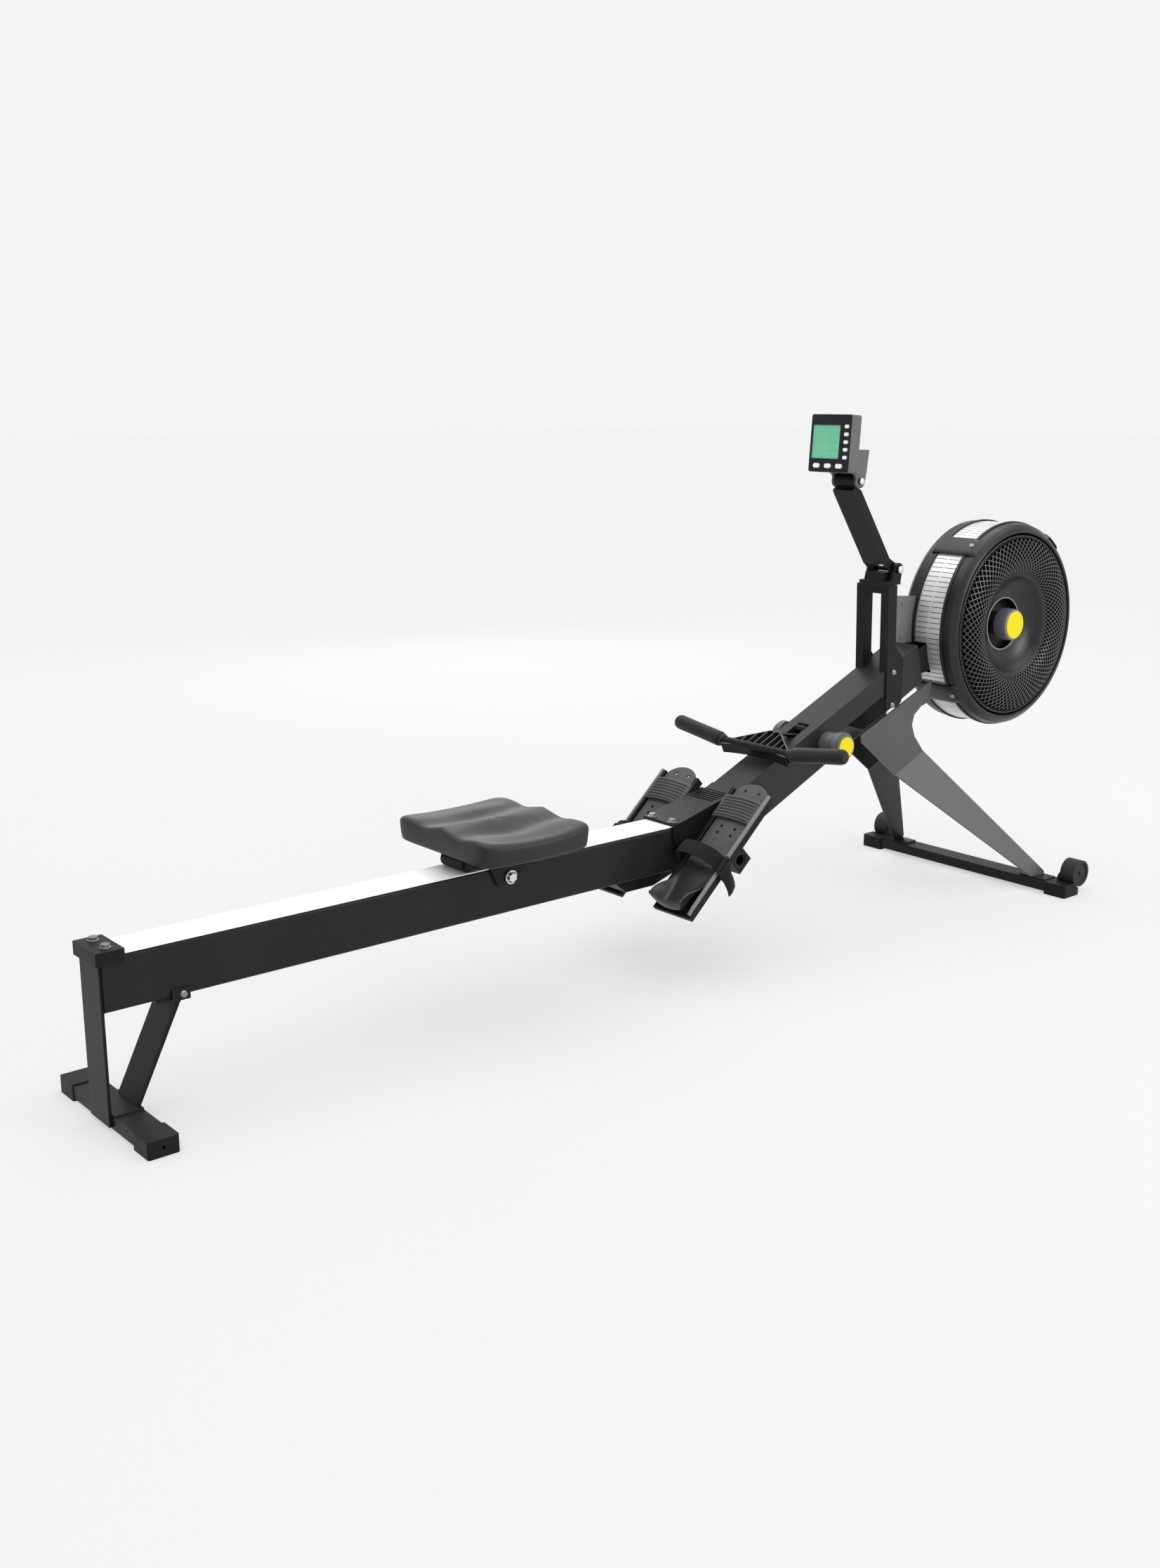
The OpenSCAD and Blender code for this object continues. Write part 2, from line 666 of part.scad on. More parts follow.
module drive_drum() color("#55585c") at_origin() difference() {
    union() {
        rod_y(wheel_x, wheel_z, drum_r, -12.5, 12.5);
        rod_y(wheel_x, wheel_z, drum_r + 5, -14, -12);
        rod_y(wheel_x, wheel_z, drum_r + 5, 12, 14);
    }
    rod_y(wheel_x, wheel_z, axle_r + run_gap, -20, 30);
}

// ---- foot rests ----

module foot_cross_tube() color("#222222") at_origin() difference() {
    rod_y(tube_x, tube_z, tube_r, -foot_y - 28, foot_y + 28);
    rod_y(tube_x, tube_z, tube_r - 3, -foot_y - 29, foot_y + 29);
}

module foot_bases() color("#242424") at_origin() both_sides() on_foot() difference() {
    union() {
        translate([0, -foot_y - foot_w / 2, -14]) cube([294, foot_w, 9]);
        for (s = [-1, 1]) translate([20, -foot_y + s * (foot_w / 2 - 4) - 4, -14]) cube([274, 8, 18]);
        translate([tube_u - 20, -foot_y - 30, tube_t - 20]) cube([40, 60, 10 - tube_t]);
    }
    rod_y(tube_u, tube_t, tube_r, -foot_y * 2, 0);
}

toe_u = 224;
toe_l = 50;
module toe_pads() color("#3a3a3a") at_origin() both_sides() on_foot() {
    translate([toe_u, -foot_y - foot_w / 2, 4]) cube([toe_l, foot_w, 5]);
    for (i = [0 : 6])
        translate([toe_u + 1 + i * 7, -foot_y - foot_w / 2 + 3, 9]) cube([4, foot_w - 6, 3]);
}

// Sole plate with a heel cup that slides under the toe pad.
sole_t = 4;
module heel_slider() on_foot() difference() {
    union() {
        translate([2, -foot_y - foot_w / 2 + 9, -4.5]) cube([280, foot_w - 18, sole_t]);
        translate([282, -foot_y, -4.5]) intersection() {
            cylinder(r = foot_w / 2 - 9, h = sole_t);
            translate([-1, -60, 0]) cube([32, 120, sole_t]);
        }
        slab(-foot_y - foot_w / 2 + 9, -foot_y + foot_w / 2 - 9)
            polygon([[-4, -4.5], [3, -4.5], [24, 30], [14, 34]]);
        for (s = [-1, 1]) slab(-foot_y + s * (foot_w / 2 - 11) - 2, -foot_y + s * (foot_w / 2 - 11) + 2)
            polygon([[-4, -4.5], [80, -4.5], [60, 10], [24, 34], [14, 34]]);
    }
    for (u = [190, 206, 292], v = [-20, 20])
        translate([u, -foot_y + v, -10]) cylinder(r = 3, h = 20, $fn = 32);
}
module heel_slider_right() color("#2e2e2e") at_origin() heel_slider();
module heel_slider_left() color("#2e2e2e") at_origin() mirror([0, 1, 0]) heel_slider();

module foot_straps() color("#191919") at_origin() both_sides() on_foot(104, 0) {
    translate([0, -foot_y - foot_w / 2 - 2.5, -14]) cube([36, 2.5, 52]);
    translate([0, -foot_y + foot_w / 2, -14]) cube([36, 2.5, 52]);
    translate([0, -foot_y - foot_w / 2 - 2.5, 38]) cube([36, foot_w + 5, 2.5]);
}

// ---- handle and strap ----

handle_x = 1412;
handle_z = 397;
handle_r = 9;
handle_bend = 94;      // distance from the middle to where the bar turns upwards
handle_turn = 82;      // tilt of the upturned ends from upright
grip_lead = 8;         // length of the collar before a grip, and of the grip's tapered end
grip_l = (grip_end - handle_bend) / sin(handle_turn) - 2 * grip_lead;

module middle_bar() translate([handle_x, 0, handle_z]) rotate([90, 0, 0])
    cylinder(r = handle_r, h = 190, center = true);
module on_grip() both_sides() translate([handle_x, -handle_bend, handle_z]) rotate([handle_turn, 0, 0])
    children();

module handle_bar() color("silver") at_origin() {
    middle_bar();
    on_grip() cylinder(r = handle_r, h = grip_lead + grip_l - 2);
    on_grip() cylinder(r = 12, h = grip_lead);
}

module handle_grips() color("#2d2d2d") at_origin() on_grip() translate([0, 0, grip_lead]) difference() {
    union() {
        cylinder(r = grip_r, h = grip_l);
        translate([0, 0, grip_l]) cylinder(r1 = grip_r, r2 = grip_r - 4, h = grip_lead, $fn = 48);
    }
    translate([0, 0, -1]) cylinder(r = handle_r, h = grip_l - 1);
}

yoke_s = 134;      // place of the yoke's front wall along the beam
yoke_d = 74;
yoke_h = 20;
module yoke_outline(grow) polygon([
    [0 + grow, -92 + grow], [yoke_d * 0.14, -90 + grow], [yoke_d - grow, -12], [yoke_d - grow, 12],
    [yoke_d * 0.14, 90 - grow], [0 + grow, 92 - grow], [6 + grow, 46], [8 + grow, 0], [6 + grow, -46]]);
module handle_yoke() color("#262626") at_origin() difference() {
    on_beam(yoke_s, 11) {
        difference() {
            linear_extrude(yoke_h) yoke_outline(0);
            translate([0, 0, 3]) linear_extrude(yoke_h) yoke_outline(4);
        }
        for (i = [-3 : 3]) intersection() {
            linear_extrude(yoke_h) yoke_outline(1);
            translate([0, i * 22 - 1, 0]) cube([yoke_d, 2, yoke_h]);
        }
    }
    middle_bar();
}

// The flat drive strap, from the yoke under the guide roller to the drum.
module drive_strap() color("#141414") at_origin() {
    slab(-strap_w / 2, strap_w / 2) flat_bar(strap_start, strap_turn, strap_t);
    slab(-strap_w / 2, strap_w / 2) flat_bar(strap_turn, [wheel_x - 12, wheel_z + drum_r + 1], strap_t);
}

module guide_roller() color("silver") at_origin() difference() {
    rod_y(guide_x, guide_z, guide_r, -13, 13);
    rod_y(guide_x, guide_z, 3 + run_gap, -14, 14);
}

// ---- seat ----

module seat_cushion() color("#1c1c1c") at_origin() translate([seat_x, 0, seat_under])
    linear_extrude(seat_top - seat_under) round_rect(seat_l, seat_w, 30);

module seat_carriage() color("#2a2a2a") at_origin() translate([seat_x, 0, 0]) {
    block([-98, -60, seat_under - 5], [98, 60, seat_under]);
    both_sides() slab(-rail_w / 2 - 5.5, -rail_w / 2 - 2) polygon([
        [-56, seat_under - 5], [-22, 248], [22, 248], [56, seat_under - 5]]);
    both_sides() for (s = [-1, 1]) translate([s * roller_dx, 0, 0]) {
        slab(-rail_w / 2 + 1, -rail_w / 2 + 5) polygon([
            [-8, seat_under - 5], [-8, roller_z - 6], [8, roller_z - 6], [8, seat_under - 5]]);
    }
    for (s = [-1, 1]) rod_y(s * roller_dx, roller_z, 4, -rail_w / 2 + 2, rail_w / 2 - 2);
    both_sides() {
        rod_y(4, 262, 12, -rail_w / 2 - 7, -rail_w / 2 - 5.5);
        translate([4, -rail_w / 2 - 7, 262]) rotate([90, 0, 0]) cylinder(r = 10, h = 7, $fn = 6);
        rod_y(4, 262, 9, -rail_w / 2 - 2, -rail_w / 2 - body_gap);
    }
}

module seat_roller(s) color("#3b3b3b") at_origin() difference() {
    rod_y(seat_x + s * roller_dx, roller_z, roller_r, -rail_w / 2 + 5.4, rail_w / 2 - 5.4);
    rod_y(seat_x + s * roller_dx, roller_z, 4 + run_gap, -60, 60);
}
module seat_roller_front() seat_roller(1);
module seat_roller_rear() seat_roller(-1);

rear_foot_bar();
rear_foot_caps();
rear_post();
rear_brace();
rail();
rail_top_strip();
rail_end_cap();
hex_bolts();
front_bracket();
beam();
leg_left();
leg_right();
front_foot_bar();
front_foot_caps();
tower();
tower_head();
dome_screws();
wheel_brackets();
axle_bearings();
housing_left();
housing_band();
housing_right();
intake_grille();
housing_clamps();
foot_cross_tube();
foot_bases();
toe_pads();
foot_straps();
peg_bar();
peg_caps();
return_cord();
guide_roller();
fan();
wheel_axle();
hub_cover();
hub_disc();
drive_drum();
handle_bar();
handle_grips();
handle_yoke();
drive_strap();
seat_cushion();
seat_carriage();
seat_roller_front();
seat_roller_rear();
heel_slider_left();
heel_slider_right();
transport_wheel_left();
transport_wheel_right();
monitor_arm();
monitor_case();
monitor_screen();
side_button(0);  // side_button_1
side_button(1);  // side_button_2
side_button(2);  // side_button_3
side_button(3);  // side_button_4
side_button(4);  // side_button_5
front_button(0);  // front_button_1
front_button(1);  // front_button_2
front_button(2);  // front_button_3
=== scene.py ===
import math

import bmesh
import bpy
from mathutils import Matrix, Vector


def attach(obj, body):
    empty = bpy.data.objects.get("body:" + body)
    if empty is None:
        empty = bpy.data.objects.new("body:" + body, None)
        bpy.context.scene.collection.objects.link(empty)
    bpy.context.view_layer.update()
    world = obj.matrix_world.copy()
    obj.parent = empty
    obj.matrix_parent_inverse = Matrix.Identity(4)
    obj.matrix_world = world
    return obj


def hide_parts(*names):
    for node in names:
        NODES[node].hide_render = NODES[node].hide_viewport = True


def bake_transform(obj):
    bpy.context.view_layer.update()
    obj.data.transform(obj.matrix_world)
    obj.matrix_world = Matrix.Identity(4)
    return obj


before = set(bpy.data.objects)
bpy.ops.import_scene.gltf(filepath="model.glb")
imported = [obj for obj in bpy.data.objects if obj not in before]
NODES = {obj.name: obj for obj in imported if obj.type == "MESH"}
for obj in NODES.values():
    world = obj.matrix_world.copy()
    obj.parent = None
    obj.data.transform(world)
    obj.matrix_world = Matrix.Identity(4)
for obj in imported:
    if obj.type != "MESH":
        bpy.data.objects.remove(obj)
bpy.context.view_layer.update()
MID = 1171.5  # design x of the object's middle, mm


def P(x, y, z):
    """A design point in mm as row-frame metres."""
    return Vector(((x - MID) / 1000, y / 1000, z / 1000))


# ---- camera ----

cam_data = bpy.data.cameras.new("camera")
cam = bpy.data.objects.new("camera", cam_data)
bpy.context.collection.objects.link(cam)
cam_data.lens = 36.96
cam_data.sensor_width = 36
cam.location = (-2.10811, -2.23922, 1.0998)
AZ, DOWN = math.radians(50.04), math.radians(13.588)
look = Vector((math.cos(AZ) * math.cos(DOWN), math.sin(AZ) * math.cos(DOWN), -math.sin(DOWN)))
cam.rotation_euler = look.to_track_quat("-Z", "Y").to_euler()
cam_data.clip_end = 100
bpy.context.scene.camera = cam
bpy.context.scene.view_settings.view_transform = "Standard"

# ---- materials ----


def node_tree(name, base, rough, metal):
    m = bpy.data.materials.new(name)
    m.use_nodes = True
    nt = m.node_tree
    b = nt.nodes["Principled BSDF"]
    b.inputs["Base Color"].default_value = (*base, 1)
    b.inputs["Roughness"].default_value = rough
    b.inputs["Metallic"].default_value = metal
    return m, nt, b


def link(nt, a, b):
    nt.links.new(a, b)


def mix_color(nt, fac, a, b):
    n = nt.nodes.new("ShaderNodeMix")
    n.data_type = "RGBA"
    link(nt, fac, n.inputs[0])
    for i, v in ((6, a), (7, b)):
        if isinstance(v, tuple):
            n.inputs[i].default_value = (*v, 1)
        else:
            link(nt, v, n.inputs[i])
    return n.outputs[2]


def math_node(nt, op, a, b=0.0, clamp=False):
    n = nt.nodes.new("ShaderNodeMath")
    n.operation = op
    n.use_clamp = clamp
    for i, v in enumerate((a, b)):
        if isinstance(v, (int, float)):
            n.inputs[i].default_value = v
        else:
            link(nt, v, n.inputs[i])
    return n.outputs[0]


def ramp(nt, fac, lo, hi):
    n = nt.nodes.new("ShaderNodeMapRange")
    n.inputs["From Min"].default_value = lo
    n.inputs["From Max"].default_value = hi
    link(nt, fac, n.inputs["Value"])
    return n.outputs["Result"]


def coords(nt, scale=(1, 1, 1), rot=(0, 0, 0)):
    tc = nt.nodes.new("ShaderNodeTexCoord")
    mp = nt.nodes.new("ShaderNodeMapping")
    mp.inputs["Scale"].default_value = scale
    mp.inputs["Rotation"].default_value = rot
    link(nt, tc.outputs["Object"], mp.inputs["Vector"])
    return mp.outputs["Vector"]


def noise(nt, vec, scale, detail=3, rough=0.55):
    n = nt.nodes.new("ShaderNodeTexNoise")
    n.inputs["Scale"].default_value = scale
    n.inputs["Detail"].default_value = detail
    n.inputs["Roughness"].default_value = rough
    link(nt, vec, n.inputs["Vector"])
    return n.outputs["Fac"]


def edge_mask(nt, radius):
    """The rounded normal and a mask that is 1 along sharp edges."""
    bev = nt.nodes.new("ShaderNodeBevel")
    bev.samples = 4
    bev.inputs["Radius"].default_value = radius
    geo = nt.nodes.new("ShaderNodeNewGeometry")
    dot = nt.nodes.new("ShaderNodeVectorMath")
    dot.operation = "DOT_PRODUCT"
    link(nt, bev.outputs["Normal"], dot.inputs[0])
    link(nt, geo.outputs["Normal"], dot.inputs[1])
    return bev.outputs["Normal"], ramp(nt, dot.outputs["Value"], 0.995, 0.85)


def bump(nt, bsdf, height, strength, distance, normal=None):
    n = nt.nodes.new("ShaderNodeBump")
    n.inputs["Strength"].default_value = strength
    n.inputs["Distance"].default_value = distance
    link(nt, height, n.inputs["Height"])
    if normal is not None:
        link(nt, normal, n.inputs["Normal"])
    link(nt, n.outputs["Normal"], bsdf.inputs["Normal"])


def surface(name, base, rough, metal=0.0, grain=900, depth=0.00012, vary=0.16, wear=None, wear_amount=0.5,
            edge=0.0012, streak=None, coat=0.0, sheen=0.0, strength=0.35, spec=0.15):
    """A moulded, painted or metal surface: cloudy tone, fine grain, rounded and slightly worn edges."""
    m, nt, b = node_tree(name, base, rough, metal)
    vec = coords(nt, streak or (1, 1, 1))
    cloud = noise(nt, coords(nt), 9, 4)
    fine = noise(nt, vec, grain, 3)
    tone = math_node(nt, "ADD", math_node(nt, "MULTIPLY", cloud, 0.65), math_node(nt, "MULTIPLY", fine, 0.35))
    dark = tuple(c * (1 - vary) for c in base)
    light = tuple(min(1, c * (1 + vary)) for c in base)
    color = mix_color(nt, ramp(nt, tone, 0.35, 0.65), dark, light)
    normal, edges = edge_mask(nt, edge)
    if wear is not None:
        patchy = math_node(nt, "MULTIPLY", edges, ramp(nt, cloud, 0.3, 0.62))
        worn = math_node(nt, "MULTIPLY", patchy, wear_amount, True)
        color = mix_color(nt, worn, color, wear)
    link(nt, color, b.inputs["Base Color"])
    r = math_node(nt, "ADD", math_node(nt, "MULTIPLY", cloud, 0.16), rough - 0.08)
    link(nt, math_node(nt, "ADD", r, math_node(nt, "MULTIPLY", fine, 0.05)), b.inputs["Roughness"])
    bump(nt, b, fine, strength, depth, normal)
    b.inputs["Specular IOR Level"].default_value = spec
    b.inputs["Coat Weight"].default_value = coat
    b.inputs["Sheen Weight"].default_value = sheen
    b.inputs["Sheen Roughness"].default_value = 0.5
    return m


MAT = {
    "frame_paint": surface("frame_paint", (0.008, 0.008, 0.0085), 0.38, grain=700, wear=(0.10, 0.10, 0.105)),
    # Near leg: the frame paint made much lighter, a painted reflection of the overhead light on the splayed
    # plate; the far leg stays dark
    "leg_paint": surface("leg_paint", (0.055, 0.055, 0.056), 0.38, grain=700, wear=(0.20, 0.20, 0.205),
                         spec=0.4),
    "beam_paint": surface("beam_paint", (0.012, 0.012, 0.0124), 0.40, grain=700, wear=(0.16, 0.16, 0.165),
                          spec=0.25),
    "bolt_steel": surface("bolt_steel", (0.26, 0.26, 0.265), 0.30, 0.9, grain=300, depth=0.00004, vary=0.05),
    "rail_black": surface("rail_black", (0.010, 0.010, 0.0104), 0.42, grain=420, streak=(0.03, 1, 1),
                          wear=(0.10, 0.10, 0.10), depth=0.00006, spec=0.18),
    "steel_strip": surface("steel_strip", (0.84, 0.84, 0.84), 0.42, 0.3, grain=500, streak=(0.02, 1, 1),
                           depth=0.00004, vary=0.05, spec=0.5),
    "band_sheet": surface("band_sheet", (0.70, 0.70, 0.705), 0.36, 0.6, grain=500, depth=0.00004, vary=0.08,
                          spec=0.5),
    "bright_steel": surface("bright_steel", (0.66, 0.66, 0.67), 0.24, 0.85, grain=300, depth=0.00004,
                            vary=0.05,
                            spec=0.5),
    "black_plastic": surface("black_plastic", (0.006, 0.006, 0.0064), 0.44, grain=1500,
                             wear=(0.06, 0.06, 0.063)),
    "tower_plastic": surface("tower_plastic", (0.006, 0.006, 0.0064), 0.36, grain=1500,
                             wear=(0.11, 0.11, 0.113)),
    "shell_plastic": surface("shell_plastic", (0.010, 0.010, 0.0104), 0.30, grain=1400,
                             wear=(0.10, 0.10, 0.103),
                             spec=0.35),
    "lattice_plastic": surface("lattice_plastic", (0.040, 0.040, 0.041), 0.32, grain=1400, spec=0.5),
    "foot_plastic": surface("foot_plastic", (0.068, 0.068, 0.070), 0.48, grain=1300, wear=(0.24, 0.24, 0.243),
                            wear_amount=0.8),
    "cup_plastic": surface("cup_plastic", (0.020, 0.020, 0.0207), 0.34, grain=1300, wear=(0.12, 0.12, 0.122),
                           wear_amount=0.8, spec=0.4),
    "rail_grey": surface("rail_grey", (0.17, 0.17, 0.173), 0.45, grain=1300, wear=(0.34, 0.34, 0.345)),
    "base_plastic": surface("base_plastic", (0.008, 0.008, 0.0084), 0.46, grain=1300,
                            wear=(0.22, 0.22, 0.225),
                            wear_amount=0.9),
    "grey_plastic": surface("grey_plastic", (0.15, 0.14, 0.185), 0.36, grain=1500, wear=(0.32, 0.30, 0.40),
                            spec=0.4),
    "peg_plastic": surface("peg_plastic", (0.085, 0.083, 0.090), 0.34, grain=1500, wear=(0.28, 0.26, 0.36),
                           spec=0.45),
    "yellow_plastic": surface("yellow_plastic", (0.66, 0.56, 0.001), 0.38, grain=1200, vary=0.04, spec=0.2),
    "grip_rubber": surface("grip_rubber", (0.012, 0.012, 0.0125), 0.52, grain=1100, depth=0.0002, sheen=0.1),
    "yoke_plastic": surface("yoke_plastic", (0.010, 0.010, 0.0105), 0.42, grain=1400),
    "yoke_rim": surface("yoke_rim", (0.13, 0.13, 0.132), 0.42, grain=1400),
    "fan_metal": surface("fan_metal", (0.03, 0.03, 0.031), 0.5, 0.2, grain=500),
    "button_white": surface("button_white", (0.88, 0.88, 0.87), 0.4, grain=1200, vary=0.03),
    "wheel_tread": surface("wheel_tread", (0.026, 0.026, 0.027), 0.55, grain=900, depth=0.0002),
    "case_plastic": surface("case_plastic", (0.11, 0.11, 0.113), 0.46, grain=1400, wear=(0.26, 0.26, 0.265)),
    "face_film": surface("face_film", (0.012, 0.011, 0.018), 0.30, grain=1200, vary=0.1),
    # Black for sheets put behind open holes: painted shade for the dark inside of the housing
    "void_black": surface("void_black", (0.002, 0.002, 0.002), 0.8, grain=900, spec=0.02),
    "ring_metal": surface("ring_metal", (0.30, 0.30, 0.31), 0.32, 0.5, grain=500),
    "bracket_black": surface("bracket_black", (0.006, 0.006, 0.0062), 0.40, grain=1200,
                             wear=(0.12, 0.12, 0.122)),
}


def bracket_material():
    """Grey painted plate, black on the right-hand plate and near the beam."""
    m = surface("bracket_paint", (0.15, 0.15, 0.153), 0.46, grain=600, wear=(0.3, 0.3, 0.3))
    nt = m.node_tree
    b = nt.nodes["Principled BSDF"]
    painted = b.inputs["Base Color"].links[0].from_socket
    split = nt.nodes.new("ShaderNodeSeparateXYZ")
    link(nt, coords(nt), split.inputs[0])
    left = math_node(nt, "GREATER_THAN", split.outputs["Y"], 0.0)
    high = math_node(nt, "GREATER_THAN", split.outputs["Z"], 0.564)
    shown = math_node(nt, "MULTIPLY", left, high)
    link(nt, mix_color(nt, shown, (0.012, 0.012, 0.0125), painted), b.inputs["Base Color"])
    return m


MAT["bracket_paint"] = bracket_material()


def seat_material():
    """Soft grained skin: pebbles on top of a cloudy tone, with a soft sheen."""
    m, nt, b = node_tree("seat_skin", (0.018, 0.018, 0.0185), 0.52, 0)
    vec = coords(nt)
    v = nt.nodes.new("ShaderNodeTexVoronoi")
    v.inputs["Scale"].default_value = 620
    link(nt, vec, v.inputs["Vector"])
    cloud = noise(nt, vec, 7, 4)
    color = mix_color(nt, ramp(nt, cloud, 0.3, 0.7), (0.015, 0.015, 0.0155), (0.022, 0.022, 0.0225))
    pit = ramp(nt, v.outputs["Distance"], 0.0, 0.5)
    link(nt, mix_color(nt, pit, color, (0.011, 0.011, 0.0113)), b.inputs["Base Color"])
    link(nt, math_node(nt, "ADD", math_node(nt, "MULTIPLY", cloud, 0.15), 0.44), b.inputs["Roughness"])
    bump(nt, b, v.outputs["Distance"], 0.25, 0.00018)
    b.inputs["Specular IOR Level"].default_value = 0.3
    b.inputs["Sheen Weight"].default_value = 0.1
    b.inputs["Sheen Roughness"].default_value = 0.4
    return m


def webbing_material(name, base, size):
    """Woven band: ribs across, threads along."""
    m, nt, b = node_tree(name, base, 0.75, 0)
    tc = nt.nodes.new("ShaderNodeTexCoord")
    rib = nt.nodes.new("ShaderNodeTexWave")
    rib.wave_type = "BANDS"
    rib.bands_direction = "DIAGONAL"
    rib.inputs["Scale"].default_value = size
    rib.inputs["Distortion"].default_value = 0.6
    link(nt, tc.outputs["Object"], rib.inputs["Vector"])
    thread = nt.nodes.new("ShaderNodeTexWave")
    thread.bands_direction = "Y"
    thread.inputs["Scale"].default_value = size * 1.7
    link(nt, tc.outputs["Object"], thread.inputs["Vector"])
    weave = math_node(nt, "MULTIPLY", rib.outputs["Fac"], thread.outputs["Fac"])
    light = tuple(c * 1.9 for c in base)
    dark = tuple(c * 0.6 for c in base)
    link(nt, mix_color(nt, weave, dark, light), b.inputs["Base Color"])
    bump(nt, b, weave, 0.5, 0.0004)
    b.inputs["Specular IOR Level"].default_value = 0.1
    b.inputs["Sheen Weight"].default_value = 0.06
    return m


def screen_material():
    """Reflective green display with faint rows of dark segments and a faint painted glow."""
    m, nt, b = node_tree("display", (0.10, 0.42, 0.24), 0.25, 0)
    vec = coords(nt)
    brick = nt.nodes.new("ShaderNodeTexBrick")
    brick.inputs["Color1"].default_value = (0.115, 0.47, 0.27, 1)
    brick.inputs["Color2"].default_value = (0.10, 0.44, 0.25, 1)
    brick.inputs["Mortar"].default_value = (0.075, 0.33, 0.19, 1)
    brick.inputs["Scale"].default_value = 1
    brick.inputs["Brick Width"].default_value = 0.09
    brick.inputs["Row Height"].default_value = 0.0165
    brick.inputs["Mortar Size"].default_value = 0.0006
    sw = nt.nodes.new("ShaderNodeSeparateXYZ")
    cb = nt.nodes.new("ShaderNodeCombineXYZ")
    link(nt, vec, sw.inputs[0])
    link(nt, sw.outputs["Y"], cb.inputs["X"])
    link(nt, sw.outputs["Z"], cb.inputs["Y"])
    link(nt, cb.outputs[0], brick.inputs["Vector"])
    cloud = noise(nt, vec, 30, 3)
    link(nt, mix_color(nt, ramp(nt, cloud, 0.2, 0.9), brick.outputs["Color"], (0.13, 0.50, 0.30)),
         b.inputs["Base Color"])
    b.inputs["Coat Weight"].default_value = 0.5
    b.inputs["Coat Roughness"].default_value = 0.08
    # A faint emission: a painted glow, since the display is reflective and not lit from within
    b.inputs["Emission Color"].default_value = (0.12, 0.5, 0.28, 1)
    b.inputs["Emission Strength"].default_value = 0.05
    bump(nt, b, cloud, 0.05, 0.0001)
    return m


MAT["seat_skin"] = seat_material()
MAT["webbing"] = webbing_material("webbing", (0.009, 0.009, 0.0095), 260)
MAT["strap_weave"] = webbing_material("strap_weave", (0.010, 0.010, 0.0105), 240)
MAT["display"] = screen_material()

NODE_MATERIAL = {
    "rear_foot_bar": "frame_paint", "rear_foot_caps": "black_plastic", "rear_post": "frame_paint",
    "rear_brace": "frame_paint", "rail": "rail_black", "rail_top_strip": "steel_strip",
    "rail_end_cap": "black_plastic", "hex_bolts": "bolt_steel", "front_bracket": "bracket_black",
    # leg_right takes the lighter leg paint, a painted reflection; leg_left stays dark
    "beam": "beam_paint", "leg_left": "black_plastic", "leg_right": "leg_paint",
    "front_foot_bar": "frame_paint",
    "front_foot_caps": "black_plastic", "tower": "tower_plastic", "tower_head": "tower_plastic",
    "dome_screws": "bolt_steel", "wheel_brackets": "bracket_paint", "axle_bearings": "bright_steel",
    "foot_cross_tube": "base_plastic", "foot_bases": "base_plastic", "peg_bar": "peg_plastic",
    "peg_caps": "yellow_plastic", "return_cord": "webbing", "guide_roller": "black_plastic",
    "fan": "fan_metal",
    "wheel_axle": "bright_steel", "drive_drum": "black_plastic", "handle_bar": "black_plastic",
    "seat_carriage": "frame_paint", "seat_roller_front": "black_plastic", "seat_roller_rear": "black_plastic",
    "transport_wheel_left": "wheel_tread", "transport_wheel_right": "wheel_tread",
    "monitor_arm": "tower_plastic", "monitor_case": "case_plastic", "monitor_screen": "display",
}
for name, obj in NODES.items():
    key = NODE_MATERIAL.get(name, "button_white" if "button" in name else "black_plastic")
    if obj.type == "MESH":
        obj.data.materials.clear()
        obj.data.materials.append(MAT[key])

# ---- mesh helpers ----


def make(name, verts, faces, material, body, smooth=True, angle=35):
    me = bpy.data.meshes.new(name)
    me.from_pydata([tuple(v) for v in verts], [], faces)
    me.validate()
    bm = bmesh.new()
    bm.from_mesh(me)
    bmesh.ops.recalc_face_normals(bm, faces=bm.faces)
    bm.to_mesh(me)
    bm.free()
    o = bpy.data.objects.new(name, me)
    bpy.context.collection.objects.link(o)
    finish_piece(o, material, body, smooth, angle)
    return o


def finish_piece(o, material, body, smooth=True, angle=35):
    o.data.materials.clear()
    o.data.materials.append(MAT[material])
    if smooth:
        o.data.shade_smooth()
        if angle:
            o.data.set_sharp_from_angle(angle=math.radians(angle))
    if body:
        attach(o, body)


def apply(o):
    """Modifiers become plain mesh."""
    bpy.context.view_layer.update()
    me = bpy.data.meshes.new_from_object(o.evaluated_get(bpy.context.evaluated_depsgraph_get()))
    o.modifiers.clear()
    o.data = me
    return o


def modify(o, kind, **values):
    m = o.modifiers.new(kind.lower(), kind)
    for k, v in values.items():
        setattr(m, k, v)
    return m


def grid(name, rows, material, body, loop_u=False, loop_v=False, angle=35):
    """A skin over rows of points, closed along the rows (loop_v) or from last row to first (loop_u)."""
    n, k = len(rows), len(rows[0])
    verts = [p for r in rows for p in r]
    faces = []
    for i in range(n if loop_u else n - 1):
        for j in range(k if loop_v else k - 1):
            a, b = i * k + j, i * k + (j + 1) % k
            c, d = ((i + 1) % n) * k + (j + 1) % k, ((i + 1) % n) * k + j
            faces.append((a, b, c, d))
    return make(name, verts, faces, material, body, True, angle)


def capped(name, rings, material, body, angle=40):
    """Closed rings stacked into a solid with both ends capped."""
    k = len(rings[0])
    verts = [p for r in rings for p in r]
    faces = []
    for i in range(len(rings) - 1):
        for j in range(k):
            faces.append((i * k + j, i * k + (j + 1) % k, (i + 1) * k + (j + 1) % k, (i + 1) * k + j))
    faces.append(tuple(range(k)))
    faces.append(tuple((len(rings) - 1) * k + j for j in range(k)))
    return make(name, verts, faces, material, body, True, angle)


WX, WZ = 2150, 593  # the flywheel's axle


def wheel_point(r, y, a):
    return P(WX + r * math.cos(a), y, WZ + r * math.sin(a))


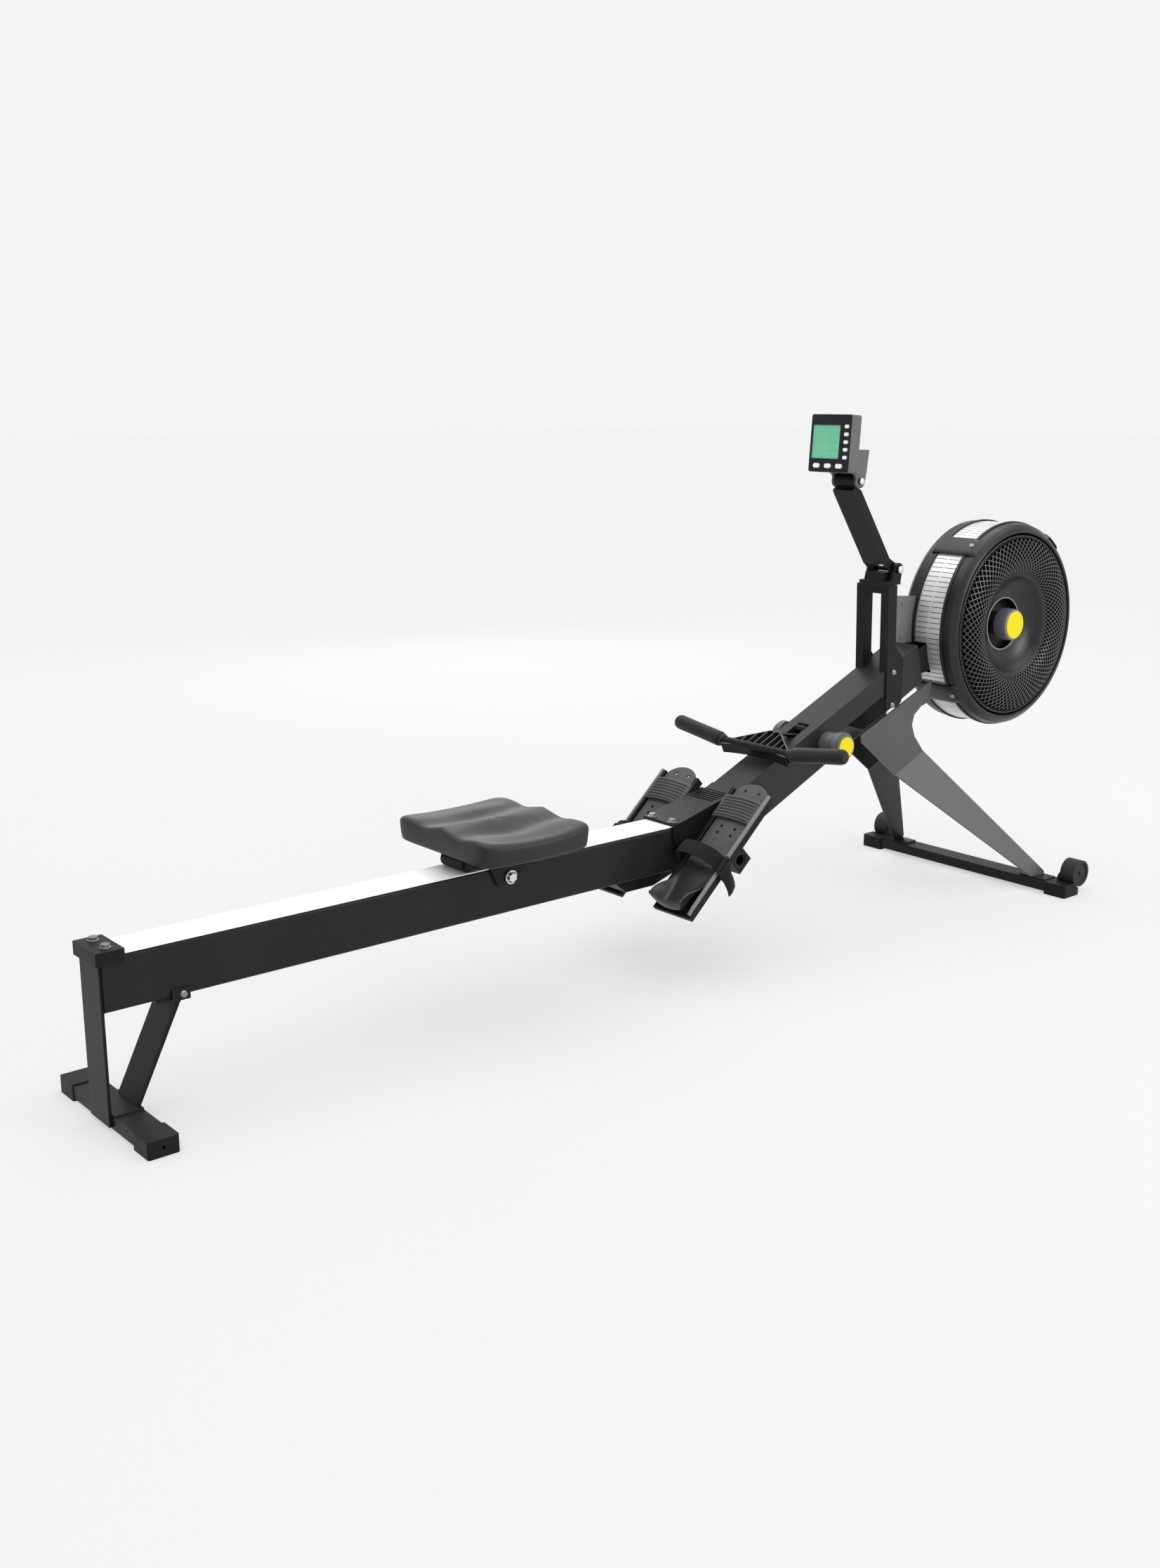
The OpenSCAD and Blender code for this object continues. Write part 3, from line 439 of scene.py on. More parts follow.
def turned(name, profile, material, body, n=160, angle=32):
    """A closed ring about the flywheel's axle from (radius, y) points."""
    rows = [[wheel_point(r, y, 2 * math.pi * j / n) for j in range(n)] for r, y in profile]
    return grid(name, rows, material, body, loop_u=True, loop_v=True, angle=angle)


def rounded(points, r=2.0, steps=4):
    """Rounds every corner of a closed outline with a small arc-like curve."""
    out = []
    n = len(points)
    for i in range(n):
        p0, p1, p2 = Vector(points[i - 1]), Vector(points[i]), Vector(points[(i + 1) % n])
        a, b = p0 - p1, p2 - p1
        d = min(r, a.length * 0.45, b.length * 0.45)
        s, e = p1 + a.normalized() * d, p1 + b.normalized() * d
        for k in range(steps + 1):
            t = k / steps
            out.append(tuple(s * (1 - t) ** 2 + p1 * 2 * t * (1 - t) + e * t ** 2))
    return out


def along(path, ring, material, name, body, up=Vector((0, 1, 0)), caps=True, angle=40):
    """A ring of (side, up) offsets in mm swept along a path of points."""
    rings = []
    for i, p in enumerate(path):
        t = (path[min(i + 1, len(path) - 1)] - path[max(i - 1, 0)]).normalized()
        side = up.cross(t).normalized()
        u = t.cross(side)
        rings.append([p + side * (a / 1000) + u * (b / 1000) for a, b in ring])
    return capped(name, rings, material, body, angle)


def smooth_path(points, per=8):
    """Catmull-Rom curve through points."""
    pts = [points[0]] + list(points) + [points[-1]]
    out = []
    for i in range(1, len(pts) - 2):
        p0, p1, p2, p3 = pts[i - 1:i + 3]
        for k in range(per):
            t = k / per
            out.append(0.5 * ((2 * p1) + (p2 - p0) * t + (2 * p0 - 5 * p1 + 4 * p2 - p3) * t * t
                              + (3 * p1 - p0 - 3 * p2 + p3) * t ** 3))
    out.append(pts[-2].copy())
    return out


def plate(name, outlines, thick, round_edge, matrix, material, body):
    """A flat plate with holes from closed 2-D outlines in mm, with softened edges."""
    cu = bpy.data.curves.new(name, "CURVE")
    cu.dimensions = "2D"
    cu.fill_mode = "BOTH"
    for pts in outlines:
        s = cu.splines.new("POLY")
        s.points.add(len(pts) - 1)
        for q, (x, y) in zip(s.points, pts):
            q.co = (x / 1000, y / 1000, 0, 1)
        s.use_cyclic_u = True
    cu.extrude = (thick / 2 - round_edge) / 1000
    cu.bevel_depth = round_edge / 1000
    cu.bevel_resolution = 2
    cu.offset = -round_edge / 1000
    tmp = bpy.data.objects.new(name + "_curve", cu)
    bpy.context.collection.objects.link(tmp)
    bpy.context.view_layer.update()
    me = bpy.data.meshes.new_from_object(tmp.evaluated_get(bpy.context.evaluated_depsgraph_get()))
    bpy.data.objects.remove(tmp)
    me.transform(matrix)
    me.name = name
    o = bpy.data.objects.new(name, me)
    bpy.context.collection.objects.link(o)
    bm = bmesh.new()
    bm.from_mesh(me)
    bmesh.ops.remove_doubles(bm, verts=bm.verts, dist=1e-6)
    bm.to_mesh(me)
    bm.free()
    finish_piece(o, material, body, True, 30)
    return o


def circle(x, y, r, n=24):
    return [(x + r * math.cos(2 * math.pi * i / n), y + r * math.sin(2 * math.pi * i / n)) for i in range(n)]


def lerp(a, b, t):
    return a + (b - a) * t


def smoothstep(t):
    t = max(0.0, min(1.0, t))
    return t * t * (3 - 2 * t)


# ---- seat ----

SEAT_X, SEAT_L, SEAT_BASE, SEAT_TOP = 737, 120, 317, 361
SEAT_CORNER = 12  # superellipse power: higher is squarer
CROWN_INSET = 12  # where the rounded edge meets the top
SKIRT = 10        # drop from the top to the widest ring


def seat_top(u, v):
    """Height of the seat's skin at u along (-1 rear, 1 front) and v across (-1 near, 1 far)."""
    z = SEAT_TOP
    z += 4.5 * math.exp(-(v / 0.13) ** 2) * (0.55 + 0.45 * u * u)
    z -= 5.5 * math.exp(-((abs(v) - 0.42) / 0.2) ** 2) * (0.9 if abs(u) > 0.6 else 1.0)
    z -= 7.0 * math.exp(-((abs(v) - 0.45) / 0.26) ** 2) * math.exp(-((u + 0.1) / 0.55) ** 2)
    z -= 8.0 * (1 - min(1, abs(u)) ** 2.2) * smoothstep((abs(v) - 0.55) / 0.45)
    return z


def seat_outline(a):
    """Rounded rectangle of half-width 1 at an angle, as u and v."""
    c, s = math.cos(a), math.sin(a)
    e = 2 / SEAT_CORNER
    u = math.copysign(abs(c) ** e, c)
    v = math.copysign(abs(s) ** e, s)
    return u, v


# angles crowded near the axes, where equal steps would leave the outline's points far apart
seat_n = 144
seat_rings = []
angles = []
for k in range(seat_n):
    t = 2 * math.pi * k / seat_n
    angles.append(math.atan2(math.copysign(abs(math.sin(t)) ** 2.4, math.sin(t)),
                             math.copysign(abs(math.cos(t)) ** 2.4, math.cos(t))))


def seat_half(u):
    """Half the seat's width, which bulges towards its middle."""
    return 138 + 9 * (1 - u * u)


def seat_xy(u, v, inset):
    """Design x, y of an outline point moved inwards."""
    return SEAT_X + u * (SEAT_L - inset), v * (seat_half(u) - inset)


for inset, drop in ((CROWN_INSET, 0), (8, 0.4), (4.5, 1.6), (2, 3.6), (0.6, 6.4), (0, SKIRT)):
    ring = []
    for a in angles:
        u, v = seat_outline(a)
        x, y = seat_xy(u, v, inset)
        ring.append(P(x, y, seat_top(u, v) - drop))
    seat_rings.append(ring)
for f, inset in ((0.35, 0.6), (0.7, 1.6), (0.93, 3.0), (1.0, 6.0)):
    ring = []
    for a in angles:
        u, v = seat_outline(a)
        x, y = seat_xy(u, v, inset)
        ring.append(P(x, y, lerp(seat_top(u, v) - SKIRT, SEAT_BASE, f)))
    seat_rings.append(ring)
top_rings = []
for k in range(1, 15):
    s = k / 15
    ring = []
    for a in angles:
        u, v = seat_outline(a)
        x = SEAT_X + u * s * (SEAT_L - CROWN_INSET)
        y = v * s * (seat_half(u) - CROWN_INSET)
        ring.append(P(x, y, seat_top(u * s, v * s)))
    top_rings.append(ring)
seat = capped("seat_pad", top_rings + seat_rings, "seat_skin", "seat", angle=60)
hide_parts("seat_cushion")

# ---- flywheel housing ----

SHELL_R, RIB_ROOT, RIB_R = 228, 228.2, 231
BAND_NEAR, BAND_FAR = -56, 12  # y of the slotted band's edges

near_shell = turned("near_shell", rounded([
    (SHELL_R, BAND_NEAR), (SHELL_R, -67), (225, -80), (217, -87.5), (211, -91.5), (206.5, -91), (205, -84),
    (206, -76), (217, -73), (224.5, -61), (224.5, BAND_NEAR)], 2.0),
    "shell_plastic", "frame")
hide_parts("housing_right")
turned("near_shell_rib", rounded([(RIB_ROOT, -57), (RIB_R, -57), (RIB_R, -62.5), (RIB_ROOT, -63)], 1),
       "shell_plastic", "frame")
far_shell = turned("far_shell", rounded([
    (SHELL_R, BAND_FAR), (SHELL_R, 42), (218, 54), (202, 60), (24, 60), (24, 57), (200, 57), (215, 51),
    (225, 41), (225, BAND_FAR)], 5), "shell_plastic", "frame")
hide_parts("housing_left")
turned("far_shell_rib", rounded([(RIB_ROOT, 12.5), (RIB_R, 12.5), (RIB_R, 18), (RIB_ROOT, 19)], 1),
       "shell_plastic", "frame")


def inset_open(o, width, thick, offset=0.0):
    """Turns every face into an open cell with bars of the given width."""
    bm = bmesh.new()
    bm.from_mesh(o.data)
    faces = list(bm.faces)
    bmesh.ops.inset_individual(bm, faces=faces, thickness=width)
    bmesh.ops.delete(bm, geom=faces, context="FACES_ONLY")
    bm.to_mesh(o.data)
    bm.free()
    modify(o, "SOLIDIFY", thickness=thick, offset=offset)
    apply(o)
    o.data.shade_smooth()
    o.data.set_sharp_from_angle(angle=math.radians(30))


# slotted sheet band between the shells, open where the drive strap and the right bracket enter
SLOT_ROWS, SLOTS = 123, 2          # round the band and across it
SHEET_SHARE = 0.87                 # of each step round the band
SLOT_FROM, SLOT_TO = 0.06, 0.94    # of each step across it
ENTRY_FROM, ENTRY_TO, ENTRY_Y = 185, 204, -24  # degrees round the wheel, and the opening's near edge
band_a, band_y = [], []
for i in range(SLOT_ROWS):
    band_a += [2 * math.pi * i / SLOT_ROWS, 2 * math.pi * (i + SHEET_SHARE) / SLOT_ROWS]
for i in range(SLOTS):
    band_y += [lerp(BAND_NEAR, BAND_FAR, (i + f) / SLOTS) for f in (SLOT_FROM, SLOT_TO)]
band_y = [BAND_NEAR] + band_y + [BAND_FAR]
n_a = len(band_a)
band_v = [wheel_point(226.5, y, a) for y in band_y for a in band_a]
band_f = []
for j in range(len(band_y) - 1):
    for i in range(n_a):
        deg = math.degrees(band_a[i])
        slot = i % 2 == 1 and j % 2 == 1
        entry = ENTRY_FROM < deg < ENTRY_TO and band_y[j] > ENTRY_Y
        if not slot and not entry:
            a, b = j * n_a + i, j * n_a + (i + 1) % n_a
            band_f.append((a, b, b + n_a, a + n_a))
band = make("air_band", band_v, band_f, "band_sheet", None, False)
modify(band, "SOLIDIFY", thickness=0.0012, offset=0.0)
apply(band)
finish_piece(band, "band_sheet", "frame", True, 30)
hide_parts("housing_band")
# A black ring behind the band's slots: painted shade for the housing's inside
turned("band_liner", [(221, BAND_NEAR), (221, BAND_FAR), (220, BAND_FAR), (220, BAND_NEAR)], "void_black",
       "frame")

# intake: a solid rim, an open lattice over the crown and a smooth funnel


def crown(r):
    """Y of the grille's face at a radius."""
    pts = [(201, -88), (190, -94.5), (176, -100.5), (160, -104.5), (148, -105), (136, -103.5), (124, -98.5),
           (114, -90.5), (107, -83)]
    for (r0, y0), (r1, y1) in zip(pts, pts[1:]):
        if r1 <= r <= r0:
            return lerp(y0, y1, (r0 - r) / (r0 - r1))
    return pts[0][1] if r > pts[0][0] else pts[-1][1]


HOLES, RINGS = 78, 16
R_OUT, R_IN = 200.0, 107.0
SWIRL = 0.08  # of a cell, round the wheel, from one ring to the next
lattice_v, lattice_f = [], []


def lattice_radius(j):
    """Cells shrink towards the middle so that they keep their shape."""
    return R_OUT * (R_IN / R_OUT) ** (j / RINGS)


for j in range(RINGS + 1):
    r = lattice_radius(j)
    for i in range(HOLES):
        a = 2 * math.pi * (i + 0.5 * j + SWIRL * j) / HOLES
        lattice_v.append(wheel_point(r, crown(r), a))
for j in range(RINGS - 1):
    for i in range(HOLES):
        # ring j+1 is shifted by half a cell, so ring j+2 lines up one cell on
        lattice_f.append((j * HOLES + i, (j + 1) * HOLES + i, (j + 2) * HOLES + (i - 1) % HOLES,
                          (j + 1) * HOLES + (i - 1) % HOLES))
lattice = make("intake_lattice", lattice_v, lattice_f, "lattice_plastic", "frame", False)
inset_open(lattice, width=0.0014, thick=0.0008, offset=1.0)
lattice.data.materials.clear()
lattice.data.materials.append(MAT["lattice_plastic"])
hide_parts("intake_grille")
turned("intake_rim", rounded([
    (202, -80), (202, -89), (199.5, -90.5), (197.5, -90.5), (198.5, -88), (199.5, -80)], 0.8),
    "shell_plastic", "frame")
turned("intake_funnel", rounded([
    (116, -92.6), (108, -84.6), (104, -79.6), (97, -73), (89, -67.5), (80, -63), (70, -59.6), (61, -57.6),
    (61, -55.6), (70, -57.4), (79, -60.6), (88, -65), (96, -70.4), (103, -77), (108, -82.4),
    (116, -90.4)], 2.0, 3),
    "shell_plastic", "frame", n=200, angle=60)
turned("intake_inner_ring", rounded([(60.6, -58), (57.6, -58), (57.6, -55.6), (60.6, -55.6)], 0.8),
       "ring_metal", "frame")
# A black sheet behind the lattice: painted shade in its holes
turned("intake_backplate", [
    (202, -80), (190, -82), (110, -75), (106, -76), (106, -75), (110, -74), (190, -81), (202, -79)],
    "void_black", "frame")
hub = turned("hub_barrel", rounded([(0.1, -56), (36, -56), (36, -82.5), (34.6, -87.5), (32.5, -88.6),
                                    (0.1, -88.6)], 1.6), "grey_plastic", "flywheel", angle=50)
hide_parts("hub_cover")
disc = turned("hub_badge", rounded([
    (0.1, -88.2), (31.2, -88.2), (31.2, -90.2), (29.5, -91), (0.1, -91.6)], 0.8),
    "yellow_plastic", "flywheel", angle=50)
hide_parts("hub_disc")

# clamps over the band


def clamp(i, deg):
    """A shallow strap with rounded corners that folds over both rims."""
    rows = []
    profile = rounded([(230.5, 31), (235.5, 28), (236.5, -60), (233.5, -73), (225.5, -85), (223.5, -84.4),
                       (229.5, -72), (230.6, -58)], 2.5, 4)
    n = 15
    for k in range(n):
        t = 2 * k / (n - 1) - 1
        a = math.radians(deg) + math.radians(6.2) * t
        lift = -1.8 * abs(t) ** 6
        rows.append([wheel_point(r + lift, y * (1 - 0.05 * abs(t) ** 8), a) for r, y in profile])
    k = len(profile)
    verts = [p for r in rows for p in r]
    faces = [(i0 * k + j, i0 * k + (j + 1) % k, (i0 + 1) * k + (j + 1) % k, (i0 + 1) * k + j)
             for i0 in range(n - 1) for j in range(k)]
    faces += [tuple(range(k)), tuple((n - 1) * k + j for j in range(k))]
    return make("clamp_%d" % i, verts, faces, "shell_plastic", "frame", True, 32)


clamps = [clamp(i, d) for i, d in enumerate((52, 128, 218), 1)]
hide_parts("housing_clamps")

# ---- foot rests ----

# x and z of the rest's lower end, its slope, and its middle's distance from the rail's
FX, FZ, FA, FY = 1080.6, 139.7, math.radians(42.7), 100


def F(u, v, t, side):
    """Foot-rest coordinates: u up the rest, v outwards from its middle, t off its face."""
    x = FX + u * math.cos(FA) - t * math.sin(FA)
    z = FZ + u * math.sin(FA) + t * math.cos(FA)
    return P(x, side * (FY + v), z)


def foot_matrix(side, t):
    """Places a 2-D plate's x, y as u, v at height t."""
    c, s = math.cos(FA), math.sin(FA)
    o = F(0, 0, t, side)
    return Matrix(((c, 0, -s, o.x), (0, side, 0, o.y), (s, 0, c, o.z), (0, 0, 0, 1)))


def heel_cup(side, body, tag):
    """Sole and heel scoop as one moulded skin."""
    spine = [(4, 37), (1.5, 31), (0, 22), (1, 12), (4, 5), (9, 1.2), (16, 0.1), (28, 0), (44, 0), (62, 0),
             (84, 0), (104, 0), (118, 0)]
    vs = [-43, -42.5, -41, -38.5, -35, -30, -22, -11, 0, 11, 22, 30, 35, 38.5, 41, 42.5, 43]
    rows = []
    for u, t in spine:
        wall = 33 * (1 - smoothstep((u - 14) / 62))
        row = []
        for v in vs:
            f = smoothstep((abs(v) - 26) / 17)
            bow = 7 * (abs(v) / 43) ** 2 if u < 20 else 7 * (abs(v) / 43) ** 2 * max(0, 1 - (u - 20) / 60)
            lip = max(t, lerp(t, wall, f ** 1.6))
            row.append(F(u + bow * (1 if t < 8 else 1.3), v, lip + 0.2, side))
        rows.append(row)
    o = grid("heel_cup_" + tag, rows, "cup_plastic", None, angle=70)
    modify(o, "SOLIDIFY", thickness=0.003, offset=0.0)
    modify(o, "SUBSURF", levels=1, render_levels=1)
    apply(o)
    finish_piece(o, "cup_plastic", body, True, 60)
    return o


def sole_plate(side, body, tag):
    """Flat sliding plate with a round tip and six holes."""
    w = 42
    tip = [(284 + 30 * math.cos(a), w * math.sin(a))
           for a in [math.pi / 2 - k * math.pi / 14 for k in range(15)]]
    outline = [(100, w), (270, w)] + tip + [(270, -w), (100, -w)]
    holes = [circle(u, v, 3.2) for u in (190, 206, 294) for v in (-18, 18)]
    return plate("sole_plate_" + tag, [outline] + holes, 4, 0.8, foot_matrix(side, -2.2),
                 "foot_plastic", body)


def toe_pad(side, tag):
    """Ribbed pad that crosses the sole: seven soft ridges, bowed a little."""
    vs = [lerp(-51, 51, k / 24) for k in range(25)]
    us = [222 + 0.75 * k for k in range(73)]
    top, low = [], []
    for u in us:
        row, under = [], []
        for v in vs:
            edge = min(1, (51 - abs(v)) / 5, (u - 222) / 1.5, (276 - u) / 1.5)
            phase = (u - 224.5) / 7.0
            ridge = 0.5 + 0.5 * math.cos(2 * math.pi * (phase - 0.5))
            inside = smoothstep((47 - abs(v)) / 3) * (1 if 0 <= phase <= 7 else 0)
            t = 8.2 + 3.0 * inside * smoothstep(ridge * 1.6 - 0.3) - 1.4 * (1 - smoothstep(edge))
            bow = 4 * (1 - (v / 51) ** 2)
            row.append(F(u + bow - 3, v, t, side))
            under.append(F(u + bow - 3, v, 3.4, side))
        top.append(row)
        low.append(under)
    n, k = len(top), len(vs)
    verts = [p for r in top for p in r] + [p for r in low for p in r]
    faces = []
    for i in range(n - 1):
        for j in range(k - 1):
            q = (i * k + j, i * k + j + 1, (i + 1) * k + j + 1, (i + 1) * k + j)
            faces += [q, tuple(n * k + x for x in q)]
    for i in range(n - 1):
        for j in (0, k - 1):
            faces.append((i * k + j, (i + 1) * k + j, n * k + (i + 1) * k + j, n * k + i * k + j))
    for j in range(k - 1):
        for i in (0, n - 1):
            faces.append((i * k + j, i * k + j + 1, n * k + i * k + j + 1, n * k + i * k + j))
    return make("toe_pad_" + tag, verts, faces, "foot_plastic", "frame", True, 50)


def foot_rail(side, tag):
    """The raised outer edge of the base, a long soft bar."""
    ring = [(4.5 * math.cos(a), 3.2 * math.sin(a)) for a in [2 * math.pi * k / 16 for k in range(16)]]
    ring = [(math.copysign(min(abs(x), 3.8), x), math.copysign(min(abs(y), 2.7), y)) for x, y in ring]
    path = [F(u, 50.6, 3.2 + (1.5 if u > 8 else 0), side) for u in (4, 8, 20, 80, 160, 240, 288, 293)]
    return along(path, ring, "rail_grey", "foot_rail_" + tag, "frame",
                 up=Vector((0, 1, 0)))


STRAP_W, TAIL_W = 31, 24


def foot_strap(side, tag):
    """Webbing that arches over the shoe, through the base at both sides, with a loose tail."""
    pts = [(-50, -13), (-56.5, -6), (-57, 8), (-52, 24), (-38, 36), (-14, 40), (12, 38.5), (34, 33), (48, 22),
           (57, 8), (60, -8), (61, -24), (60, -38), (57, -50)]
    path = smooth_path([Vector((v, t, 0)) for v, t in pts], 6)
    rows = []
    n = len(path)
    for i, q in enumerate(path):
        t0, t1 = path[max(i - 1, 0)], path[min(i + 1, n - 1)]
        d = (t1 - t0).normalized()
        nrm = Vector((-d.y, d.x, 0))
        s = i / (n - 1)
        skew = 10 * math.sin(math.pi * min(1, s * 1.3))
        row = []
        for k in range(9):
            f = k / 8 - 0.5
            w = STRAP_W if s < 0.72 else lerp(STRAP_W, TAIL_W, smoothstep((s - 0.72) / 0.1))
            cup = 1.3 * math.cos(math.pi * f) + 1.2 * math.sin(9 * s + 3 * f)
            row.append(F(121 + f * w + skew - 6 - 14 * max(0, s - 0.7) / 0.3,
                         q.x + nrm.x * cup, q.y + nrm.y * cup, side))
        rows.append(row)
    o = grid("foot_strap_" + tag, rows, "webbing", None, angle=80)
    modify(o, "SOLIDIFY", thickness=0.0024, offset=0.0)
    apply(o)
    finish_piece(o, "webbing", "frame", True, 60)
    return o


def buckle(side, tag):
    """Cam buckle at the outer side of the strap."""
    outline = rounded([(-19, -9), (19, -9), (19, 9), (-19, 9)], 4)
    hole = rounded([(-14, -3), (14, -3), (14, 1.5), (-14, 1.5)], 1)
    c, s = math.cos(FA), math.sin(FA)
    o = F(120, 59.6, 10, side)
    m = Matrix(((c, -s, 0, o.x), (0, 0, side, o.y), (s, c, 0, o.z), (0, 0, 0, 1)))
    return plate("strap_buckle_" + tag, [outline, hole], 4.4, 1.2, m,
                 "black_plastic", "frame")


for side, tag, body, node in ((-1, "right", "heel_right", "heel_slider_right"),
                              (1, "left", "heel_left", "heel_slider_left")):
    cup = heel_cup(side, body, tag)
    sole_plate(side, body, tag)
    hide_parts(node)
    pad = toe_pad(side, tag)
    foot_rail(side, tag)
    strap = foot_strap(side, tag)
    buckle(side, tag)
    if side < 0:
        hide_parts("toe_pads")
        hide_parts("foot_straps")

# ---- handle ----

# distance along the grip and radius there
GRIP_STEPS = (
    (-2, 11.0), (0, 12.2), (6, 12.4), (7.5, 11.6), (8, 13.0), (9, 14.8), (12, 15.6), (30, 15.7), (60, 15.5),
    (95, 15.4), (128, 15.7), (135, 15.3), (139.5, 13.8), (142.5, 11.2), (144, 7.5), (144.6, 2))

for side, tag in ((-1, "right"), (1, "left")):
    start = Vector((1412, side * 94, 397))
    tilt = math.radians(8)
    d = Vector((0.012, side * math.cos(tilt), math.sin(tilt))).normalized()
    rings = []
    for s, r in GRIP_STEPS:
        c = start + d * s
        u = Vector((1, 0, 0))
        w = d.cross(u).normalized()
        u = w.cross(d).normalized()
        rings.append([P(*(c + (u * math.cos(a) + w * math.sin(a)) * r))
                      for a in [2 * math.pi * k / 40 for k in range(40)]])
    grip = capped("grip_" + tag, rings, "grip_rubber", "handle", angle=50)
    if side < 0:
        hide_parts("handle_grips")

BEAM_X, BEAM_Z, BEAM_A = 1290, 311.2, math.radians(24)


def B(s, t, y):
    """Beam coordinates: s along the beam from its lower end, t off its top face."""
    return P(BEAM_X + s * math.cos(BEAM_A) - t * math.sin(BEAM_A), y,
             BEAM_Z + s * math.sin(BEAM_A) + t * math.cos(BEAM_A))


def yoke_front(y):
    """Place of the curved front wall at a distance from the middle."""
    return 134 + 9 * (1 - (y / 92) ** 2)


def yoke_back(y):
    """Place of the two straight walls that meet at the strap."""
    return 134 + 74 - 62 * max(0, (abs(y) - 12) / 80)


def strip(name, top_path, height, width, material, lift=0.0):
    """A thin standing wall that follows a path of (s, y) points."""
    rings = []
    n = len(top_path)
    for i, (s, y) in enumerate(top_path):
        a, b = top_path[max(i - 1, 0)], top_path[min(i + 1, n - 1)]
        dx, dy = b[0] - a[0], b[1] - a[1]
        ln = math.hypot(dx, dy)
        nx, ny = -dy / ln * width / 2, dx / ln * width / 2
        z1, z0 = 31 + lift, 31 + lift - height
        e = min(0.5, height / 3)
        rings.append([B(s + nx * f, z, y + ny * f) for f, z in
                      ((1, z0), (1, z1 - e), (0.5, z1), (-0.5, z1), (-1, z1 - e), (-1, z0))])
    return capped(name, rings, material, "handle", 50)


def wall(name, path, height, width):
    """A wall of the yoke with a paler top edge."""
    o = strip(name, path, height, width, "yoke_plastic")
    strip(name + "_edge", path, 1.1, width * 0.8, "yoke_rim", lift=0.35)
    return o


ys = [lerp(-91, 91, k / 40) for k in range(41)]
front = wall("yoke_front_wall", [(yoke_front(y), y) for y in ys], 22, 3.4)
wall("yoke_back_wall_right", [(yoke_back(y), y) for y in [lerp(-91, -10, k / 16) for k in range(17)]], 19, 3)
wall("yoke_back_wall_left", [(yoke_back(y), y) for y in [lerp(10, 91, k / 16) for k in range(17)]], 19, 3)
wall("yoke_tip_wall", [(207, y) for y in (-12, -6, 0, 6, 12)], 19, 3)
for i, y in enumerate((-72, -54, -36, -18, 0, 18, 36, 54, 72)):
    wall("yoke_rib_%d" % (i + 1), [(lerp(yoke_front(y), yoke_back(y), k / 6), y) for k in range(7)], 18, 1.8)
floor_rows = [[B(lerp(yoke_front(y), yoke_back(y), k / 6), 13.5, y) for k in range(7)] for y in ys]
yoke_floor = grid("yoke_floor", floor_rows, "yoke_plastic", None)
modify(yoke_floor, "SOLIDIFY", thickness=0.0025, offset=0.0)
apply(yoke_floor)
finish_piece(yoke_floor, "yoke_plastic", "handle")
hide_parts("handle_yoke")

# the strap from the handle to the drum, as one fixed mesh
run = [Vector((1484, 0, 417)), Vector((1516, 0, 411.2)), Vector((1540, 0, 407.4)), Vector((1547, 0, 406.6)),
       Vector((1556, 0, 408.6)), Vector((1580, 0, 417.6)), Vector((2137, 0, 628.5))]
pts = []
for a, b in zip(run, run[1:]):
    n = max(2, int((b - a).length / 8))
    pts += [a.lerp(b, k / n) for k in range(n)]
pts.append(run[-1])
PULL_SECTION = (
    (-10.6, -0.5), (-10.6, 0.5), (-5, 0.8), (5, 0.8), (10.6, 0.5), (10.6, -0.5), (5, -0.8), (-5, -0.8))
rows = []
for i, q in enumerate(pts):
    d = (pts[min(i + 1, len(pts) - 1)] - pts[max(i - 1, 0)]).normalized()
    n = Vector((-d.z, 0, d.x))
    rows.append([P(*(q + Vector((0, y, 0)) + n * h)) for y, h in PULL_SECTION])
strap = capped("pull_strap", rows, "strap_weave", None, 60)
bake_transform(strap)
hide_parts("drive_strap")

# ---- monitor ----

LEAN = math.radians(4)


def monitor_matrix(depth):
    """Places a 2-D plate on the monitor's face: x across (+ is the rower's left), y up, out of the face."""
    c, s = math.cos(LEAN), math.sin(LEAN)
    o = P(1604 + depth * c, 0, 1004 - depth * s)
    return Matrix(((0, s, -c, o.x), (1, 0, 0, o.y), (0, c, s, o.z), (0, 0, 0, 1)))


def slot_shape(cx, cy, w, h, n=10):
    """Outline of a slot with round ends."""
    r = h / 2
    out = []
    for k in range(n + 1):
        a = -math.pi / 2 + math.pi * k / n
        out.append((cx + w / 2 - r + r * math.cos(a), cy + r * math.sin(a)))
    for k in range(n + 1):
        a = math.pi / 2 + math.pi * k / n
        out.append((cx - w / 2 + r + r * math.cos(a), cy + r * math.sin(a)))
    return out


CORNERS = ((-1, -1), (1, -1), (1, 1), (-1, 1))
face_holes = [rounded([(12 + 36.5 * i, 3 + 33.5 * j) for i, j in CORNERS], 2)]
face_holes += [slot_shape(-42, z, 14.4, 9.4) for z in (34, 18.5, 3, -12, -27.5)]
face_holes += [slot_shape(y, -45, 20.4, 11.4) for y in (32, 2, -28)]
plate("monitor_face", [rounded([(53 * i, 57 * j) for i, j in CORNERS], 5)] + face_holes, 0.8, 0.25,
      monitor_matrix(-0.4), "face_film", "monitor")

# ---- bolts through the seat carriage and the arm's pivots ----


def stud(name, x, z, steps, sides, material, body):
    """A round or hexagonal head on an axis across the machine, from radius and Y steps."""
    rings = [[P(x + r * math.cos(a), y, z + r * math.sin(a))
              for a in [2 * math.pi * (k + 0.5) / sides for k in range(sides)]] for r, y in steps]
    return capped(name, rings, material, body, 30)


